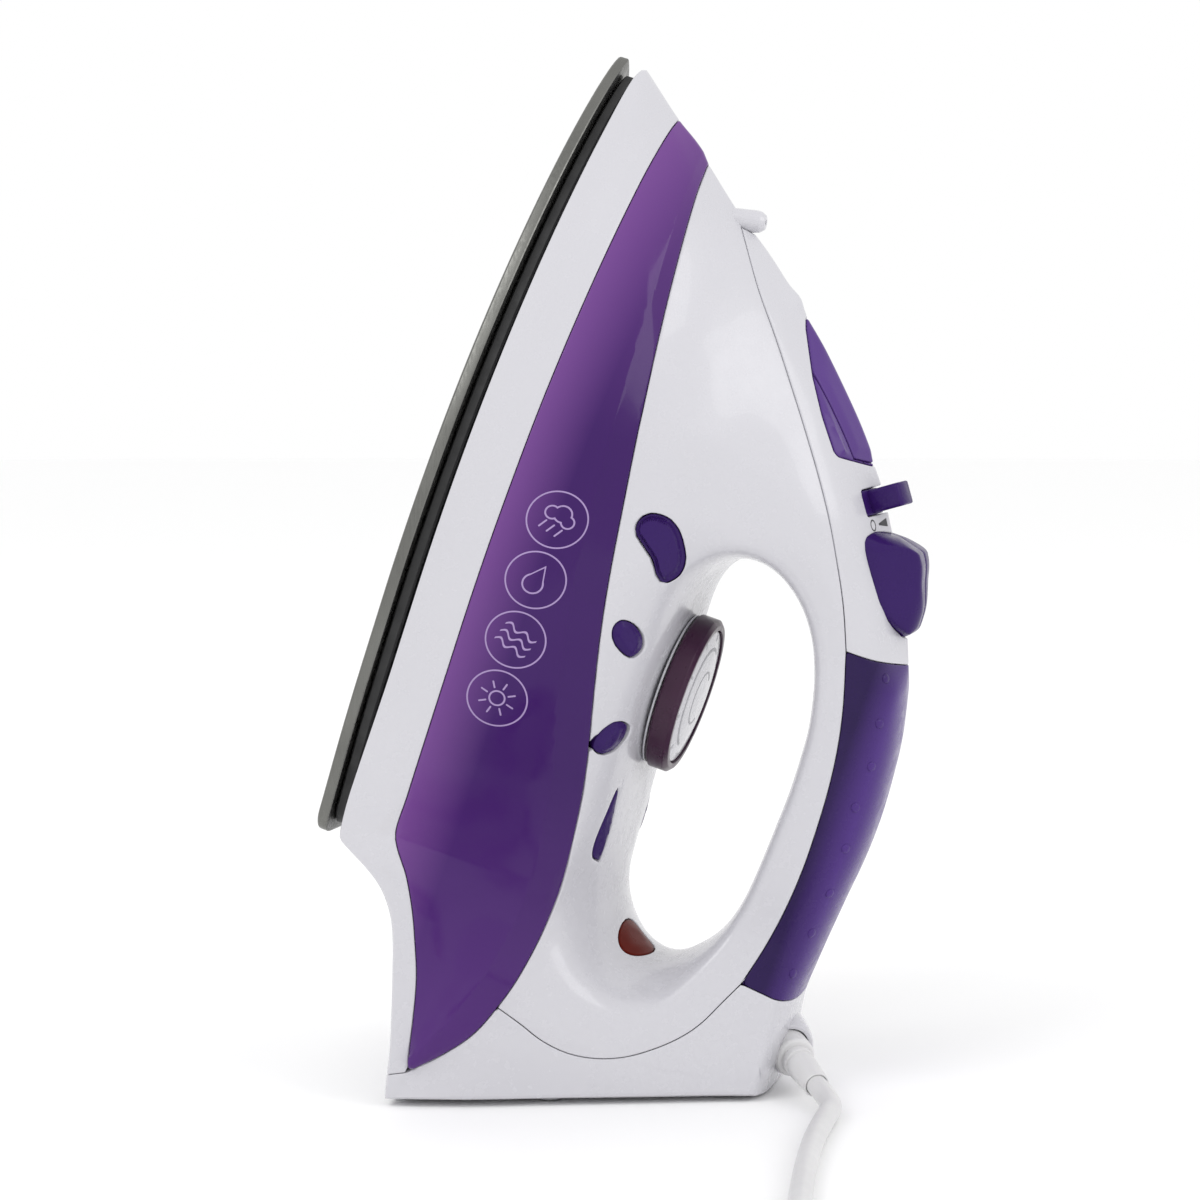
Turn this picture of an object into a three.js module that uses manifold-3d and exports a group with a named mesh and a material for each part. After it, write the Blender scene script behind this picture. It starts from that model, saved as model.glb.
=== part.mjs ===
// Full-size steam iron standing upright on its heel, with its mains lead coiled on the surface.
// Millimetres, +Z up. Standing on the heel, the sole faces -X and the handle faces +X.
//
// The iron is drawn in its own lying position and then tipped up as one group. In that position
// z runs forward along the sole from its rear edge ("forward"), x is the height above the sole's
// underside ("height") and y runs from side to side. Side outlines are lists of [forward, height].
import * as THREE from 'three';
import { mergeVertices } from 'three/addons/utils/BufferGeometryUtils.js';
import Module from 'manifold-3d';

const wasm = await Module();
wasm.setup();

// ---------- driving dimensions ----------
const TILT = THREE.MathUtils.degToRad(18.5); // lean of the sole from the vertical when it stands
const SOLE_REAR = new THREE.Vector3(-65, 0, 75.1); // rear edge of the sole's underside, standing
const SOLE_LENGTH = 221;
const SOLE_HALF_WIDTH = 61.5;
const SOLE_REAR_HALF_WIDTH = 58;
const SOLE_THICKNESS = 3.4;
const NOSE_REACH = 150; // distance behind the tip over which the sole reaches its full width
const NOSE_POWER = 0.81;
const BODY_FLOOR = 7.2; // height of the skirt's lower edge
const SKIRT_TOP = 22.2; // height of the joint line between skirt and tank
const WALL = 2.6;
const GAP = 0.3; // clearance between neighbouring pieces
const DIAL_CENTRE = 60;
const DIAL_RADIUS = 22.4;
const DIAL_SEAT = 70; // height of the flat that the dial turns on
const LEAD_DIAMETER = 5.8;

// ---------- colours ----------
const WHITE = { color: 0xdcdae2, roughness: 0.25, metalness: 0 };
const PURPLE = { color: 0x4b2a84, roughness: 0.3, metalness: 0 };
const TANK_PURPLE = { color: 0x4a2278, roughness: 0.12, metalness: 0 };
const GRIP_PURPLE = { color: 0x35205c, roughness: 0.3, metalness: 0 };
const PLUM = { color: 0x43263f, roughness: 0.35, metalness: 0 };
const BLACK = { color: 0x0a080a, roughness: 0.5, metalness: 0 };
const SOLE_GREY = { color: 0x66665f, roughness: 0.35, metalness: 0.9 };
const ALUMINIUM = { color: 0xa8a8a6, roughness: 0.5, metalness: 0.9 };
const STEEL = { color: 0xb8b8b8, roughness: 0.3, metalness: 1 };
const BRASS = { color: 0xb08d4a, roughness: 0.35, metalness: 1 };
const CERAMIC = { color: 0xe6e0d2, roughness: 0.6, metalness: 0 };
const RUBBER = { color: 0x2a2a2c, roughness: 0.8, metalness: 0 };
const LAMP_RED = { color: 0x783228, roughness: 0.15, metalness: 0 };
const LEAD_WHITE = { color: 0xe8e8e8, roughness: 0.45, metalness: 0 };

const iron = new THREE.Group();
iron.rotation.y = TILT;
iron.position.copy(SOLE_REAR);
const part = new THREE.Group();
part.add(iron);

// ---------- solids ----------
function solid(geometry) {
  const plain = geometry.index ? geometry.toNonIndexed() : geometry.clone();
  for (const name of Object.keys(plain.attributes)) {
    if (name !== 'position') plain.deleteAttribute(name);
  }
  const merged = mergeVertices(plain, 1e-4);
  const mesh = new wasm.Mesh({
    numProp: 3,
    vertProperties: new Float32Array(merged.attributes.position.array),
    triVerts: new Uint32Array(merged.index.array),
  });
  return new wasm.Manifold(mesh);
}

function toGeometry(shape) {
  const mesh = shape.getMesh();
  const geometry = new THREE.BufferGeometry();
  geometry.setAttribute('position', new THREE.BufferAttribute(mesh.vertProperties, 3));
  geometry.setIndex(new THREE.BufferAttribute(mesh.triVerts, 1));
  return geometry;
}

function piece(name, shape, look, parent = iron) {
  const geometry = shape.isBufferGeometry ? shape : toGeometry(shape);
  const mesh = new THREE.Mesh(geometry, new THREE.MeshStandardMaterial(look));
  mesh.name = name;
  parent.add(mesh);
  return mesh;
}

// Side outline of [forward, height] points, extruded from side to side between y = low and y = high.
function sidePrism(outline, low, high) {
  const shape = new THREE.Shape(outline.map(([forward, height]) => new THREE.Vector2(height, forward)));
  const geometry = new THREE.ExtrudeGeometry(shape, { depth: high - low, bevelEnabled: false });
  geometry.rotateX(Math.PI / 2);
  geometry.translate(0, high, 0);
  return solid(geometry);
}

// Plan outline of [side, forward] points, extruded upward between two heights above the sole.
function planPrism(outline, low, high, holes = []) {
  const shape = new THREE.Shape(outline.map(([side, forward]) => new THREE.Vector2(side, forward)));
  for (const hole of holes) {
    shape.holes.push(new THREE.Path(hole.map(([side, forward]) => new THREE.Vector2(side, forward))));
  }
  const geometry = new THREE.ExtrudeGeometry(shape, { depth: high - low, bevelEnabled: false });
  geometry.applyMatrix4(new THREE.Matrix4().makeBasis(
    new THREE.Vector3(0, 1, 0), new THREE.Vector3(0, 0, 1), new THREE.Vector3(1, 0, 0)));
  geometry.translate(low, 0, 0);
  return solid(geometry);
}

// Round bar from one point to another, given as [height, side, forward].
function bar(from, to, radius, sides = 16, endRadius = radius) {
  const start = new THREE.Vector3(...from);
  const along = new THREE.Vector3(...to).sub(start);
  const length = along.length();
  const geometry = new THREE.CylinderGeometry(endRadius, radius, length, sides);
  geometry.translate(0, length / 2, 0);
  geometry.applyQuaternion(new THREE.Quaternion().setFromUnitVectors(
    new THREE.Vector3(0, 1, 0), along.normalize()));
  geometry.translate(...from);
  return solid(geometry);
}

function sleeve(from, to, outer, inner, sides = 20) {
  const start = new THREE.Vector3(...from);
  const end = new THREE.Vector3(...to);
  const over = end.clone().sub(start).normalize();
  const before = start.clone().sub(over).toArray();
  const after = end.clone().add(over).toArray();
  return bar(from, to, outer, sides).subtract(bar(before, after, inner, sides));
}

function block(low, high) {
  const size = high.map((value, axis) => value - low[axis]);
  const geometry = new THREE.BoxGeometry(...size);
  geometry.translate(...low.map((value, axis) => value + size[axis] / 2));
  return solid(geometry);
}

// Tube along a smooth curve through points given as [height, side, forward].
function hose(points, radius, steps, sides = 8) {
  const curve = new THREE.CatmullRomCurve3(points.map((point) => new THREE.Vector3(...point)));
  const ring = [];
  for (let i = 0; i < sides; i += 1) {
    const angle = (2 * Math.PI * i) / sides;
    ring.push(new THREE.Vector2(radius * Math.cos(angle), radius * Math.sin(angle)));
  }
  return new THREE.ExtrudeGeometry(new THREE.Shape(ring), { steps, extrudePath: curve });
}

// ---------- outlines and half-widths ----------
function interpolate(table, at) {
  if (at <= table[0][0]) return table[0][1];
  for (let i = 1; i < table.length; i += 1) {
    if (at <= table[i][0]) {
      const share = (at - table[i - 1][0]) / (table[i][0] - table[i - 1][0]);
      return table[i - 1][1] + share * (table[i][1] - table[i - 1][1]);
    }
  }
  return table[table.length - 1][1];
}

function smooth(value) {
  const t = Math.min(1, Math.max(0, value));
  return t * t * (3 - 2 * t);
}

// Half-width of a pointed plan outline at a distance behind its tip, as a share of the full width.
function noseShare(behindTip, reach) {
  if (behindTip <= 0) return 0;
  const left = 1 - behindTip / reach;
  return left <= 0 ? 1 : (1 - left * left) ** NOSE_POWER;
}

// Front slope, as forward position against height, from the nose tip up to the handle.
const FRONT_SLOPE = [[0, 221], [7, 220.5], [20, 211], [35, 199.5], [45.5, 191], [54, 185.5], [70, 172.5],
  [80, 163], [90, 153], [104, 137], [113.5, 123], [121, 110], [128, 95], [133, 79], [136.3, 57]];
// Half-widths against height: beside the hand hole, in the column before it, and over the heel.
const SHOULDER_WIDTH = [[7, 59.5], [22, 58], [40, 52.5], [57, 45], [64, 38], [70, 28], [74, 25], [85, 24],
  [100, 20], [113, 18.5], [140, 18]];
const COLUMN_WIDTH = [[7, 59.5], [22, 58], [40, 52.5], [57, 45], [70, 36], [85, 29], [100, 24],
  [113, 20], [125, 18.5], [140, 18]];
const HEEL_WIDTH = [[0, 59], [40, 54], [60, 50], [80, 43], [100, 36], [120, 29], [134, 25]];
const NOSE_REACH_AT = [[0, NOSE_REACH], [22, 145], [50, 125], [70, 85], [90, 45], [113, 30], [140, 25]];

function halfWidth(forward, height) {
  const column = smooth((forward - 80) / 35) + smooth((15 - forward) / 30);
  const heel = smooth((8 - forward) / 50);
  let width = interpolate(SHOULDER_WIDTH, height) * (1 - column);
  width += interpolate(COLUMN_WIDTH, height) * column;
  width = width * (1 - heel) + interpolate(HEEL_WIDTH, height) * heel;
  const behindSlope = interpolate(FRONT_SLOPE, height) - forward;
  return width * noseShare(behindSlope, interpolate(NOSE_REACH_AT, height));
}

// The heel's flat, which the iron stands on: where the height above the sole meets the table.
const HEEL_HEIGHTS = [131, 124, 112, 98, 84, 70, 56.5, 46, 40];
const heelPoint = (height) => [(height * Math.sin(TILT) - SOLE_REAR.z) / Math.cos(TILT), height];

// Outer side outline of the body, counter-clockwise from the rear of the skirt's lower edge.
const FLOOR_STATIONS = [1, 25, 50, 75, 100, 120, 140, 158, 174, 188, 200, 210, 217];
const BODY_OUTLINE = [...FLOOR_STATIONS.map((forward) => [forward, BODY_FLOOR]), [220.3, 8.2],
  [216.5, 13], [211, 20], [205.5, 27.5], [199.5, 35], [191, 45.5], [182, 58.5], [172.5, 70],
  [163, 80], [153, 90], [145.5, 97], [137, 104], [130.5, 109], [123, 113.5], [116.5, 117.5],
  [110, 121], [102.5, 125], [95, 128], [87, 131], [79, 133], [68, 135.2], [57, 136.3], [45, 136.8],
  [33, 136.3], [21, 135], [9, 133.8], [0, 133], [-8, 132.4], [-17, 133], [-26, 133.4],
  [-31.8, 132.9], ...HEEL_HEIGHTS.map(heelPoint), [-65, 37.8], [-58, 37.2], [-50.3, 35.7],
  [-41, 33.2], [-30.2, 30.1], [-22.9, 27.8], [-16, 25], [-9.4, 20.6], [-5.2, 15.9], [-2, 10.9],
  [-0.3, 8]];
// Hand hole, counter-clockwise from the front of its lower side.
const HAND_HOLE = [[88, DIAL_SEAT], [94.5, 71.8], [99.8, 75.8], [102.6, 81], [103, 86], [101.6, 91],
  [98.3, 96], [93.4, 100.7], [86.8, 104.8], [79, 107.9], [72, 109.8], [64, 111.2], [55, 111.7],
  [46, 111.8], [37, 111.4], [28, 110.9], [19.8, 110.3], [13, 109.4], [5.6, 107.4], [-0.6, 104.4],
  [-6, 100.2], [-10.4, 95], [-12.2, 89.6], [-11.4, 84.4], [-8.4, 80.2], [-3.4, 76.8], [4, 74.2],
  [12.4, 72.6], [22, 71.4], [32, 70.5], [41, DIAL_SEAT], [54, DIAL_SEAT], [66, DIAL_SEAT], [77, DIAL_SEAT]];
const HOLE_CENTRE = [46, 91];
const OUTER_EDGE_RADIUS = 7;
const HOLE_EDGE_RADIUS = 5;
const BODY_STEPS = 7;
const CAVITY_STEPS = 4;

function area(outline) {
  return THREE.ShapeUtils.area(outline.map(([x, y]) => new THREE.Vector2(x, y)));
}

// Moves every point of a closed outline inward by a distance, or outward if it is negative, and
// returns the points counter-clockwise.
function inset(outline, distance) {
  const ordered = area(outline) > 0 ? outline : [...outline].reverse();
  const count = ordered.length;
  return ordered.map(([x, y], i) => {
    const [ax, ay] = ordered[(i + count - 1) % count];
    const [bx, by] = ordered[(i + 1) % count];
    const before = new THREE.Vector2(x - ax, y - ay).normalize();
    const after = new THREE.Vector2(bx - x, by - y).normalize();
    const normal = new THREE.Vector2(-before.y - after.y, before.x + after.x).normalize();
    const reach = distance / Math.max(0.5, normal.x * -before.y + normal.y * before.x);
    return [x + normal.x * reach, y + normal.y * reach];
  });
}

function distanceToOutline(point, outline) {
  let best = Infinity;
  for (let i = 0; i < outline.length; i += 1) {
    const [ax, ay] = outline[i];
    const [bx, by] = outline[(i + 1) % outline.length];
    const dx = bx - ax;
    const dy = by - ay;
    const along = ((point[0] - ax) * dx + (point[1] - ay) * dy) / (dx * dx + dy * dy);
    const t = Math.min(1, Math.max(0, along));
    best = Math.min(best, Math.hypot(point[0] - ax - t * dx, point[1] - ay - t * dy));
  }
  return best;
}

// Point where the ray from the hand hole's centre towards a target crosses the hole's outline.
function crossing(target, outline) {
  const [cx, cy] = HOLE_CENTRE;
  const ray = [target[0] - cx, target[1] - cy];
  for (let i = 0; i < outline.length; i += 1) {
    const [ax, ay] = outline[i];
    const [bx, by] = outline[(i + 1) % outline.length];
    const edge = [bx - ax, by - ay];
    const det = ray[0] * edge[1] - ray[1] * edge[0];
    const t = ((ax - cx) * edge[1] - (ay - cy) * edge[0]) / det;
    const s = ((ax - cx) * ray[1] - (ay - cy) * ray[0]) / det;
    if (t > 0 && s >= -1e-9 && s <= 1 + 1e-9) return [cx + t * ray[0], cy + t * ray[1]];
  }
  throw new Error('the ray misses the outline');
}

// How far an edge of a given radius has fallen away at a distance from the outline.
function edgeFall(distance, radius) {
  if (radius <= 0 || distance >= radius) return 0;
  const left = 1 - distance / radius;
  return radius * (1 - Math.sqrt(1 - left * left));
}

// The radius of the outer edge: sharp along the skirt, small round the heel, full on the handle.
function outerRadius(forward, height) {
  if (forward > -1 && height < 34) return 0;
  if (forward < -1) return 3 + (OUTER_EDGE_RADIUS - 3) * smooth((forward + 30) / 30);
  return OUTER_EDGE_RADIUS + 3 * smooth((height - 118) / 14);
}

// Closed body whose half-width follows halfWidth(), shrunk everywhere by a wall thickness.
function envelope(wall) {
  const steps = wall > 0 ? CAVITY_STEPS : BODY_STEPS;
  const outer = inset(BODY_OUTLINE, wall);
  const hole = inset(HAND_HOLE, -wall);
  const loops = outer.map((rim) => {
    const start = crossing(rim, hole);
    const near = [];
    for (let k = 0; k <= steps; k += 1) {
      const share = (1 - Math.cos((Math.PI * k) / steps)) / 2;
      const at = [start[0] + share * (rim[0] - start[0]), start[1] + share * (rim[1] - start[1])];
      const outerFall = edgeFall(distanceToOutline(at, outer), outerRadius(...at) - wall * 0.6);
      const holeFall = edgeFall(distanceToOutline(at, hole), HOLE_EDGE_RADIUS - wall * 0.6);
      const width = halfWidth(...at) - wall - outerFall - holeFall;
      near.push([at[1], Math.max(wall > 0 ? 0.3 : 0.9, width), at[0]]);
    }
    const far = near.map(([height, side, forward]) => [height, -side, forward]).reverse();
    return [...near, ...far];
  });
  const size = loops[0].length;
  const positions = loops.flat(2);
  const index = [];
  for (let i = 0; i < loops.length; i += 1) {
    const next = ((i + 1) % loops.length) * size;
    for (let k = 0; k < size; k += 1) {
      const a = i * size + k;
      const b = i * size + ((k + 1) % size);
      const c = next + ((k + 1) % size);
      const d = next + k;
      index.push(a, b, c, a, c, d);
    }
  }
  const geometry = new THREE.BufferGeometry();
  geometry.setAttribute('position', new THREE.Float32BufferAttribute(positions, 3));
  geometry.setIndex(index);
  return solid(geometry);
}

const body = envelope(0);
const cavity = envelope(WALL);
const roomInside = envelope(WALL + GAP);
const shell = body.subtract(cavity);

// ---------- joint lines between the covers ----------
const SKIRT_LINE = [[240, SKIRT_TOP], [7, SKIRT_TOP], [3, 24.2], [-2, 27.9], [-10.4, 32.2], [-20, 35.9],
  [-29, 39], [-40, 41.5], [-48.5, 43.1], [-54, 44.5]];
const TANK_LINE = [[240, 26], [203, 33.5], [195, 35], [178, 38.2], [163, 41], [134, 46.3], [110, 50.1],
  [78, 55.2], [46, 61], [35, 62.8], [23, 64.3], [10.5, 65.3], [-2, 65.3], [-14.3, 64.5], [-22.5, 63.3],
  [-29.6, 61.3], [-38.5, 57.7], [-46.5, 51.7], [-54, 44.5]];
const HEEL_LINE = [[-29.6, 61.3], [-32.2, 68.4], [-34.9, 75], [-36.2, 82], [-35.6, 89], [-33.2, 96],
  [-29.2, 102.3], [-24.3, 107.9], [-19.5, 111.6], [-12, 115.2], [-6.4, 117.9]];
const GRIP_LINE = [[-6.4, 117.9], [5.4, 120.6], [16.8, 122.4], [28.4, 123.3], [41.7, 123.3], [52.6, 122.8],
  [63.2, 121.6], [73.5, 119.6], [88.6, 115.4]];
const COVER_LINE = [[88.6, 115.4], [100.6, 110.7], [112.3, 105], [121.3, 100], [130.8, 93.7], [140.8, 86.2],
  [151.5, 77.7], [162.3, 69], [172.2, 60.6], [182.4, 52.6], [190.6, 46], [196, 41.6]];

const HEEL_MEETS_TANK = 15; // index in TANK_LINE of the point where the heel's joint line starts
const rise = (line) => [...line].reverse();
const zones = {
  skirt: [[-60, -5], [240, -5], ...SKIRT_LINE, [-57.5, 37.6], [-62, 28]],
  tank: [...rise(TANK_LINE), ...SKIRT_LINE.slice(0, -1)].reverse(),
  housing: [...HEEL_LINE, ...GRIP_LINE.slice(1), ...COVER_LINE.slice(1), [240, 41.6],
    ...TANK_LINE.slice(0, HEEL_MEETS_TANK)].reverse(),
  cover: [...COVER_LINE, [240, 41.6], [240, 150], [88.6, 150]],
  grip: [...GRIP_LINE, [88.6, 150], [-9.6, 150]],
  heel: [[-54, 44.5], ...rise(TANK_LINE.slice(HEEL_MEETS_TANK + 1, -1)), ...HEEL_LINE,
    [-9.6, 150], [-100, 150], [-100, 20], [-62, 28], [-57.5, 37.6]],
};

// The water space inside the tank: the tank's zone less its floor and roof.
const TANK_ROOM = [[196, 24.9], [196, 32], [178, 35.5], [163, 38.3], [134, 43.6], [110, 47.4], [78, 52.5],
  [46, 58.3], [35, 60.1], [23, 61.6], [10.5, 62.6], [-2, 62.6], [-14.3, 61.7], [-22, 60.4], [-30, 58],
  [-40.5, 50.6], [-43, 46.2], [-38, 44.4], [-29, 41.8], [-20, 38.7], [-10.4, 35], [-1, 31], [8.4, 24.9]];

// Side-to-side block over one zone of the side view, drawn in by a distance from its neighbours.
function zoneBlock(name, distance = GAP / 2) {
  return sidePrism(inset(zones[name], distance), -90, 90);
}

const skin = (name) => shell.intersect(zoneBlock(name));

// ---------- heated sole ----------
const STEAM_HOLE_RADIUS = 1.6;
const STEAM_HOLE_STEP = 17; // spacing of the holes along the sole
const STEAM_HOLE_MARGIN = 13; // distance of the holes from the sole's edge
const SOLE_STATIONS = [1, 4, 9, 16, 26, 38, 52, 68, 86, 106, 128, 150];

// Plan of the sole, drawn in by a distance, as [side, forward] points, counter-clockwise.
function solePlan(distance) {
  const half = [];
  for (const behind of SOLE_STATIONS) {
    const forward = SOLE_LENGTH - behind - distance * 1.6;
    half.push([SOLE_HALF_WIDTH * noseShare(behind, NOSE_REACH) * (1 - distance / SOLE_HALF_WIDTH), forward]);
  }
  const rearWidth = SOLE_REAR_HALF_WIDTH - distance;
  half.push([(SOLE_HALF_WIDTH + SOLE_REAR_HALF_WIDTH) / 2 + 1 - distance, 34], [rearWidth, distance + 6]);
  half.push([rearWidth - 1.8, distance + 1.8], [rearWidth - 6, distance]);
  const other = half.map(([side, forward]) => [-side, forward]).reverse();
  return [...half.reverse(), ...other.reverse()];
}

function circle(side, forward, radius, count = 8) {
  return Array.from({ length: count }, (_, i) => {
    const angle = (-2 * Math.PI * i) / count;
    return [side + radius * Math.cos(angle), forward + radius * Math.sin(angle)];
  });
}

function steamHoles() {
  const holes = [circle(0, 192, STEAM_HOLE_RADIUS)];
  for (const side of [-1, 1]) {
    for (let i = 0; i < 6; i += 1) {
      const forward = 180 - i * STEAM_HOLE_STEP;
      const width = SOLE_HALF_WIDTH * noseShare(SOLE_LENGTH - forward, NOSE_REACH) - STEAM_HOLE_MARGIN;
      holes.push(circle(side * width, forward, STEAM_HOLE_RADIUS));
    }
  }
  return holes;
}

const ELEMENT_RADIUS = 3.2;
const ELEMENT_PATH = [[20, 24, 14], [16, 24, 14.6], [11, 24, 19], [9, 27, 28], [9, 33, 50],
  [9, 36, 85], [9, 31, 120], [9, 19, 152], [9, 8, 170], [9, 0, 174]];
const elementRun = [...ELEMENT_PATH,
  ...[...ELEMENT_PATH].reverse().slice(1).map(([height, side, forward]) => [height, -side, forward])];
const CASTING_TOP = 14;
const CHAMBER = [[-22, 42], [22, 42], [22, 118], [8, 150], [-8, 150], [-22, 118]];

function soleplate() {
  return planPrism(solePlan(0), 0, SOLE_THICKNESS, steamHoles());
}

function heaterCasting() {
  const blank = planPrism(solePlan(10), SOLE_THICKNESS + GAP, CASTING_TOP);
  const pocket = planPrism(CHAMBER, 7.5, CASTING_TOP + 2);
  const channel = solid(hose(elementRun, ELEMENT_RADIUS + GAP, 44));
  return blank.subtract(pocket).subtract(channel);
}

function chamberCover() {
  const outline = CHAMBER.map(([side, forward]) => [side * 1.12, forward + (forward > 100 ? 4 : -4)]);
  return planPrism(outline, CASTING_TOP + GAP, CASTING_TOP + 1.6, [circle(0, VALVE_FORWARD, 2.4)]);
}

function heatShield() {
  const flange = planPrism(solePlan(2.8), SOLE_THICKNESS + GAP, BODY_FLOOR - GAP, [solePlan(8.4).reverse()]);
  const upstand = planPrism(solePlan(7), SOLE_THICKNESS + GAP, 15, [solePlan(8.4).reverse()]);
  const below = block([0, -90, -20], [BODY_FLOOR + WALL + 1, 90, 240]);
  return flange.add(upstand.intersect(roomInside.add(below)));
}

// ---------- covers ----------
const VALVE_FORWARD = 127;
const FUNNEL_FOOT = [38, 0, 149];
const FUNNEL_TOP = [76.5, 0, 151];
const PUMP_FORWARD = 113;
const PUMP_SIDE = 8;
const SHAFT_RADIUS = 2.9;
const PLUNGER_RADIUS = 3.3;
const PUMP_RADIUS = 5.4;
const PUMP_BORE = 3.8;
const FEED_RADIUS = 1.6;
const FUNNEL_RADIUS = 6.5;
const SPRING_RADIUS = 4.5;
const SPRING_WIRE = 0.4;

function skirt() {
  return skin('skirt').subtract(planPrism(solePlan(6.4), 0, 11));
}

function waterTank() {
  const outside = body.intersect(zoneBlock('tank'));
  const inside = cavity.intersect(sidePrism(TANK_ROOM, -90, 90));
  const column = bar([18, 0, DIAL_CENTRE], [70, 0, DIAL_CENTRE], 6.2).intersect(outside);
  let tank = outside.subtract(inside).add(column);
  tank = tank.subtract(bar([10, 0, DIAL_CENTRE], [80, 0, DIAL_CENTRE], 4.2));
  tank = tank.subtract(bar([15, 0, VALVE_FORWARD], [35, 0, VALVE_FORWARD], 4.3));
  tank = tank.subtract(bar([35, 0, VALVE_FORWARD], [60, 0, VALVE_FORWARD], 2.6));
  tank = tank.subtract(bar(FUNNEL_FOOT, FUNNEL_TOP, FUNNEL_RADIUS + GAP, 20));
  for (const side of [-PUMP_SIDE, PUMP_SIDE]) {
    tank = tank.subtract(bar([35, side, PUMP_FORWARD], [60, side, PUMP_FORWARD], FEED_RADIUS + GAP, 10));
  }
  return tank;
}

// Kidney of the self-clean button and the three purple drops behind it, as seen from the side.
const KIDNEY = [[102.9, 55.2], [106, 55], [108.6, 57.2], [109, 61.3], [107.2, 64.6], [103.4, 67.2],
  [98.7, 68.8], [94.2, 68], [91.7, 65.4], [93.4, 63.4], [97, 61.4], [99.8, 58.4]];
const FRONT_DROP = [[77.5, 58.2], [79.6, 59.6], [79.3, 62.4], [76.4, 65.2], [72.6, 65.8],
  [70.2, 64.2], [71.6, 61.2], [74.4, 58.8]];
const REAR_DROP = [[46.2, 62.2], [49.8, 63.4], [52.4, 65.8], [51.6, 67.6], [48.4, 68], [44.2, 66.8],
  [42.6, 64.6], [43.6, 62.6]];
const SLIVER = [[13, 69.3], [25.4, 69.2], [35.4, 69.8], [36.8, 71], [35.6, 71.4], [23, 71.4],
  [13, 71.6], [11.2, 70.6]];
const INSERTS = [
  { name: 'self_clean', outline: KIDNEY, depth: 27 },
  { name: 'front_drop', outline: FRONT_DROP, depth: 33 },
  { name: 'rear_drop', outline: REAR_DROP, depth: 26 },
  { name: 'sliver', outline: SLIVER, depth: 21.5 },
];

// Block through one wall of the housing, on the near side (-1) or the far side (+1).
function sideBlock(outline, depth, side, shrink) {
  const start = depth + (shrink > 0 ? GAP : 0);
  const shrunk = inset(outline, shrink);
  return side < 0 ? sidePrism(shrunk, -70, -start) : sidePrism(shrunk, start, 70);
}

// Window for the lamp lens in the rear lower corner of the hand hole.
function lensBlock(radius) {
  const geometry = new THREE.CylinderGeometry(radius, radius, 24, 20);
  geometry.scale(1, 1, 2.2);
  const outward = new THREE.Vector3(0.56, 0, 0.83).normalize();
  geometry.applyQuaternion(new THREE.Quaternion().setFromUnitVectors(new THREE.Vector3(0, 1, 0), outward));
  geometry.translate(83.2, 0, -10.3);
  return solid(geometry);
}

function mainHousing() {
  let housing = skin('housing');
  for (const insert of INSERTS) {
    for (const side of [-1, 1]) housing = housing.subtract(sideBlock(insert.outline, insert.depth, side, 0));
  }
  housing = housing.subtract(lensBlock(5.9)).subtract(bandRoom());
  housing = housing.subtract(bar([60, 0, DIAL_CENTRE], [75, 0, DIAL_CENTRE], 3.5));
  return housing.subtract(bar(NOZZLE_ROOT, NOZZLE_TIP, NOZZLE_RADIUS + GAP));
}

// ---------- spray nozzle and filler ----------
const NOZZLE_ROOT = [43.5, 0, 188];
const NOZZLE_TIP = [54.3, 0, 190.2];
const NOZZLE_RADIUS = 3.1;

function sprayNozzle() {
  const stem = bar(NOZZLE_ROOT, NOZZLE_TIP, NOZZLE_RADIUS);
  const above = sidePrism([[170, 46.6], [215, 39], [215, 70], [170, 70]], -20, 20);
  return stem.intersect(above.add(roomInside)).subtract(bar([50, 0, 189.3], [56, 0, 190.6], 0.8, 8));
}

// The purple surround of the filler wraps the front slope; its lid lies along the top of it.
const SURROUND = [[169.5, 73.2], [166.5, 74.6], [155, 81.6], [146, 88], [137.8, 94.6], [137, 96],
  [136.4, 115], [190, 115], [190, 73.2]];
const LID = [[169.5, 60], [137.8, 60], [137.8, 115], [185, 115], [176, 76]];
const LID_HALF_WIDTH = 8;

function lidBlock(grow) {
  return sidePrism(inset(LID, -grow), -LID_HALF_WIDTH - grow, LID_HALF_WIDTH + grow);
}

function surroundBlock(shrink) {
  return sidePrism(inset(SURROUND, shrink), -40, 40);
}

function fillerSurround() {
  return skin('cover').intersect(surroundBlock(GAP)).subtract(lidBlock(GAP));
}

function fillerDoor() {
  return skin('cover').intersect(surroundBlock(GAP)).intersect(lidBlock(0));
}

function fillerFunnel() {
  return sleeve(FUNNEL_FOOT, FUNNEL_TOP, FUNNEL_RADIUS, FUNNEL_RADIUS - 1.5, 20);
}

// ---------- steam slider and valve ----------
const SLIDER_RADIUS = 19; // from the slider's axis to the top of the slope
const BAND_RADIUS = 17.7; // outside of the band, which hides under the cover at both ends
const WINDOW_ANGLE = 0.6; // half-angle of the window that shows the band
const SLIDER_LOW = -0.09;
const SLIDER_HIGH = 0.61;
const SLIDER_WIDTH = 7;
const KNOB_HALF_ANGLE = 0.15;
const KNOB_HEIGHT = 8.4;
const SLIDER_REST = THREE.MathUtils.degToRad(-15);
const SLIDER_AXIS = [118.6, 93.6]; // forward and height of a point on the axis
const SLOPE_UP = new THREE.Vector3(0.828, 0, 0.562).normalize(); // outward from the slope

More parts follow.
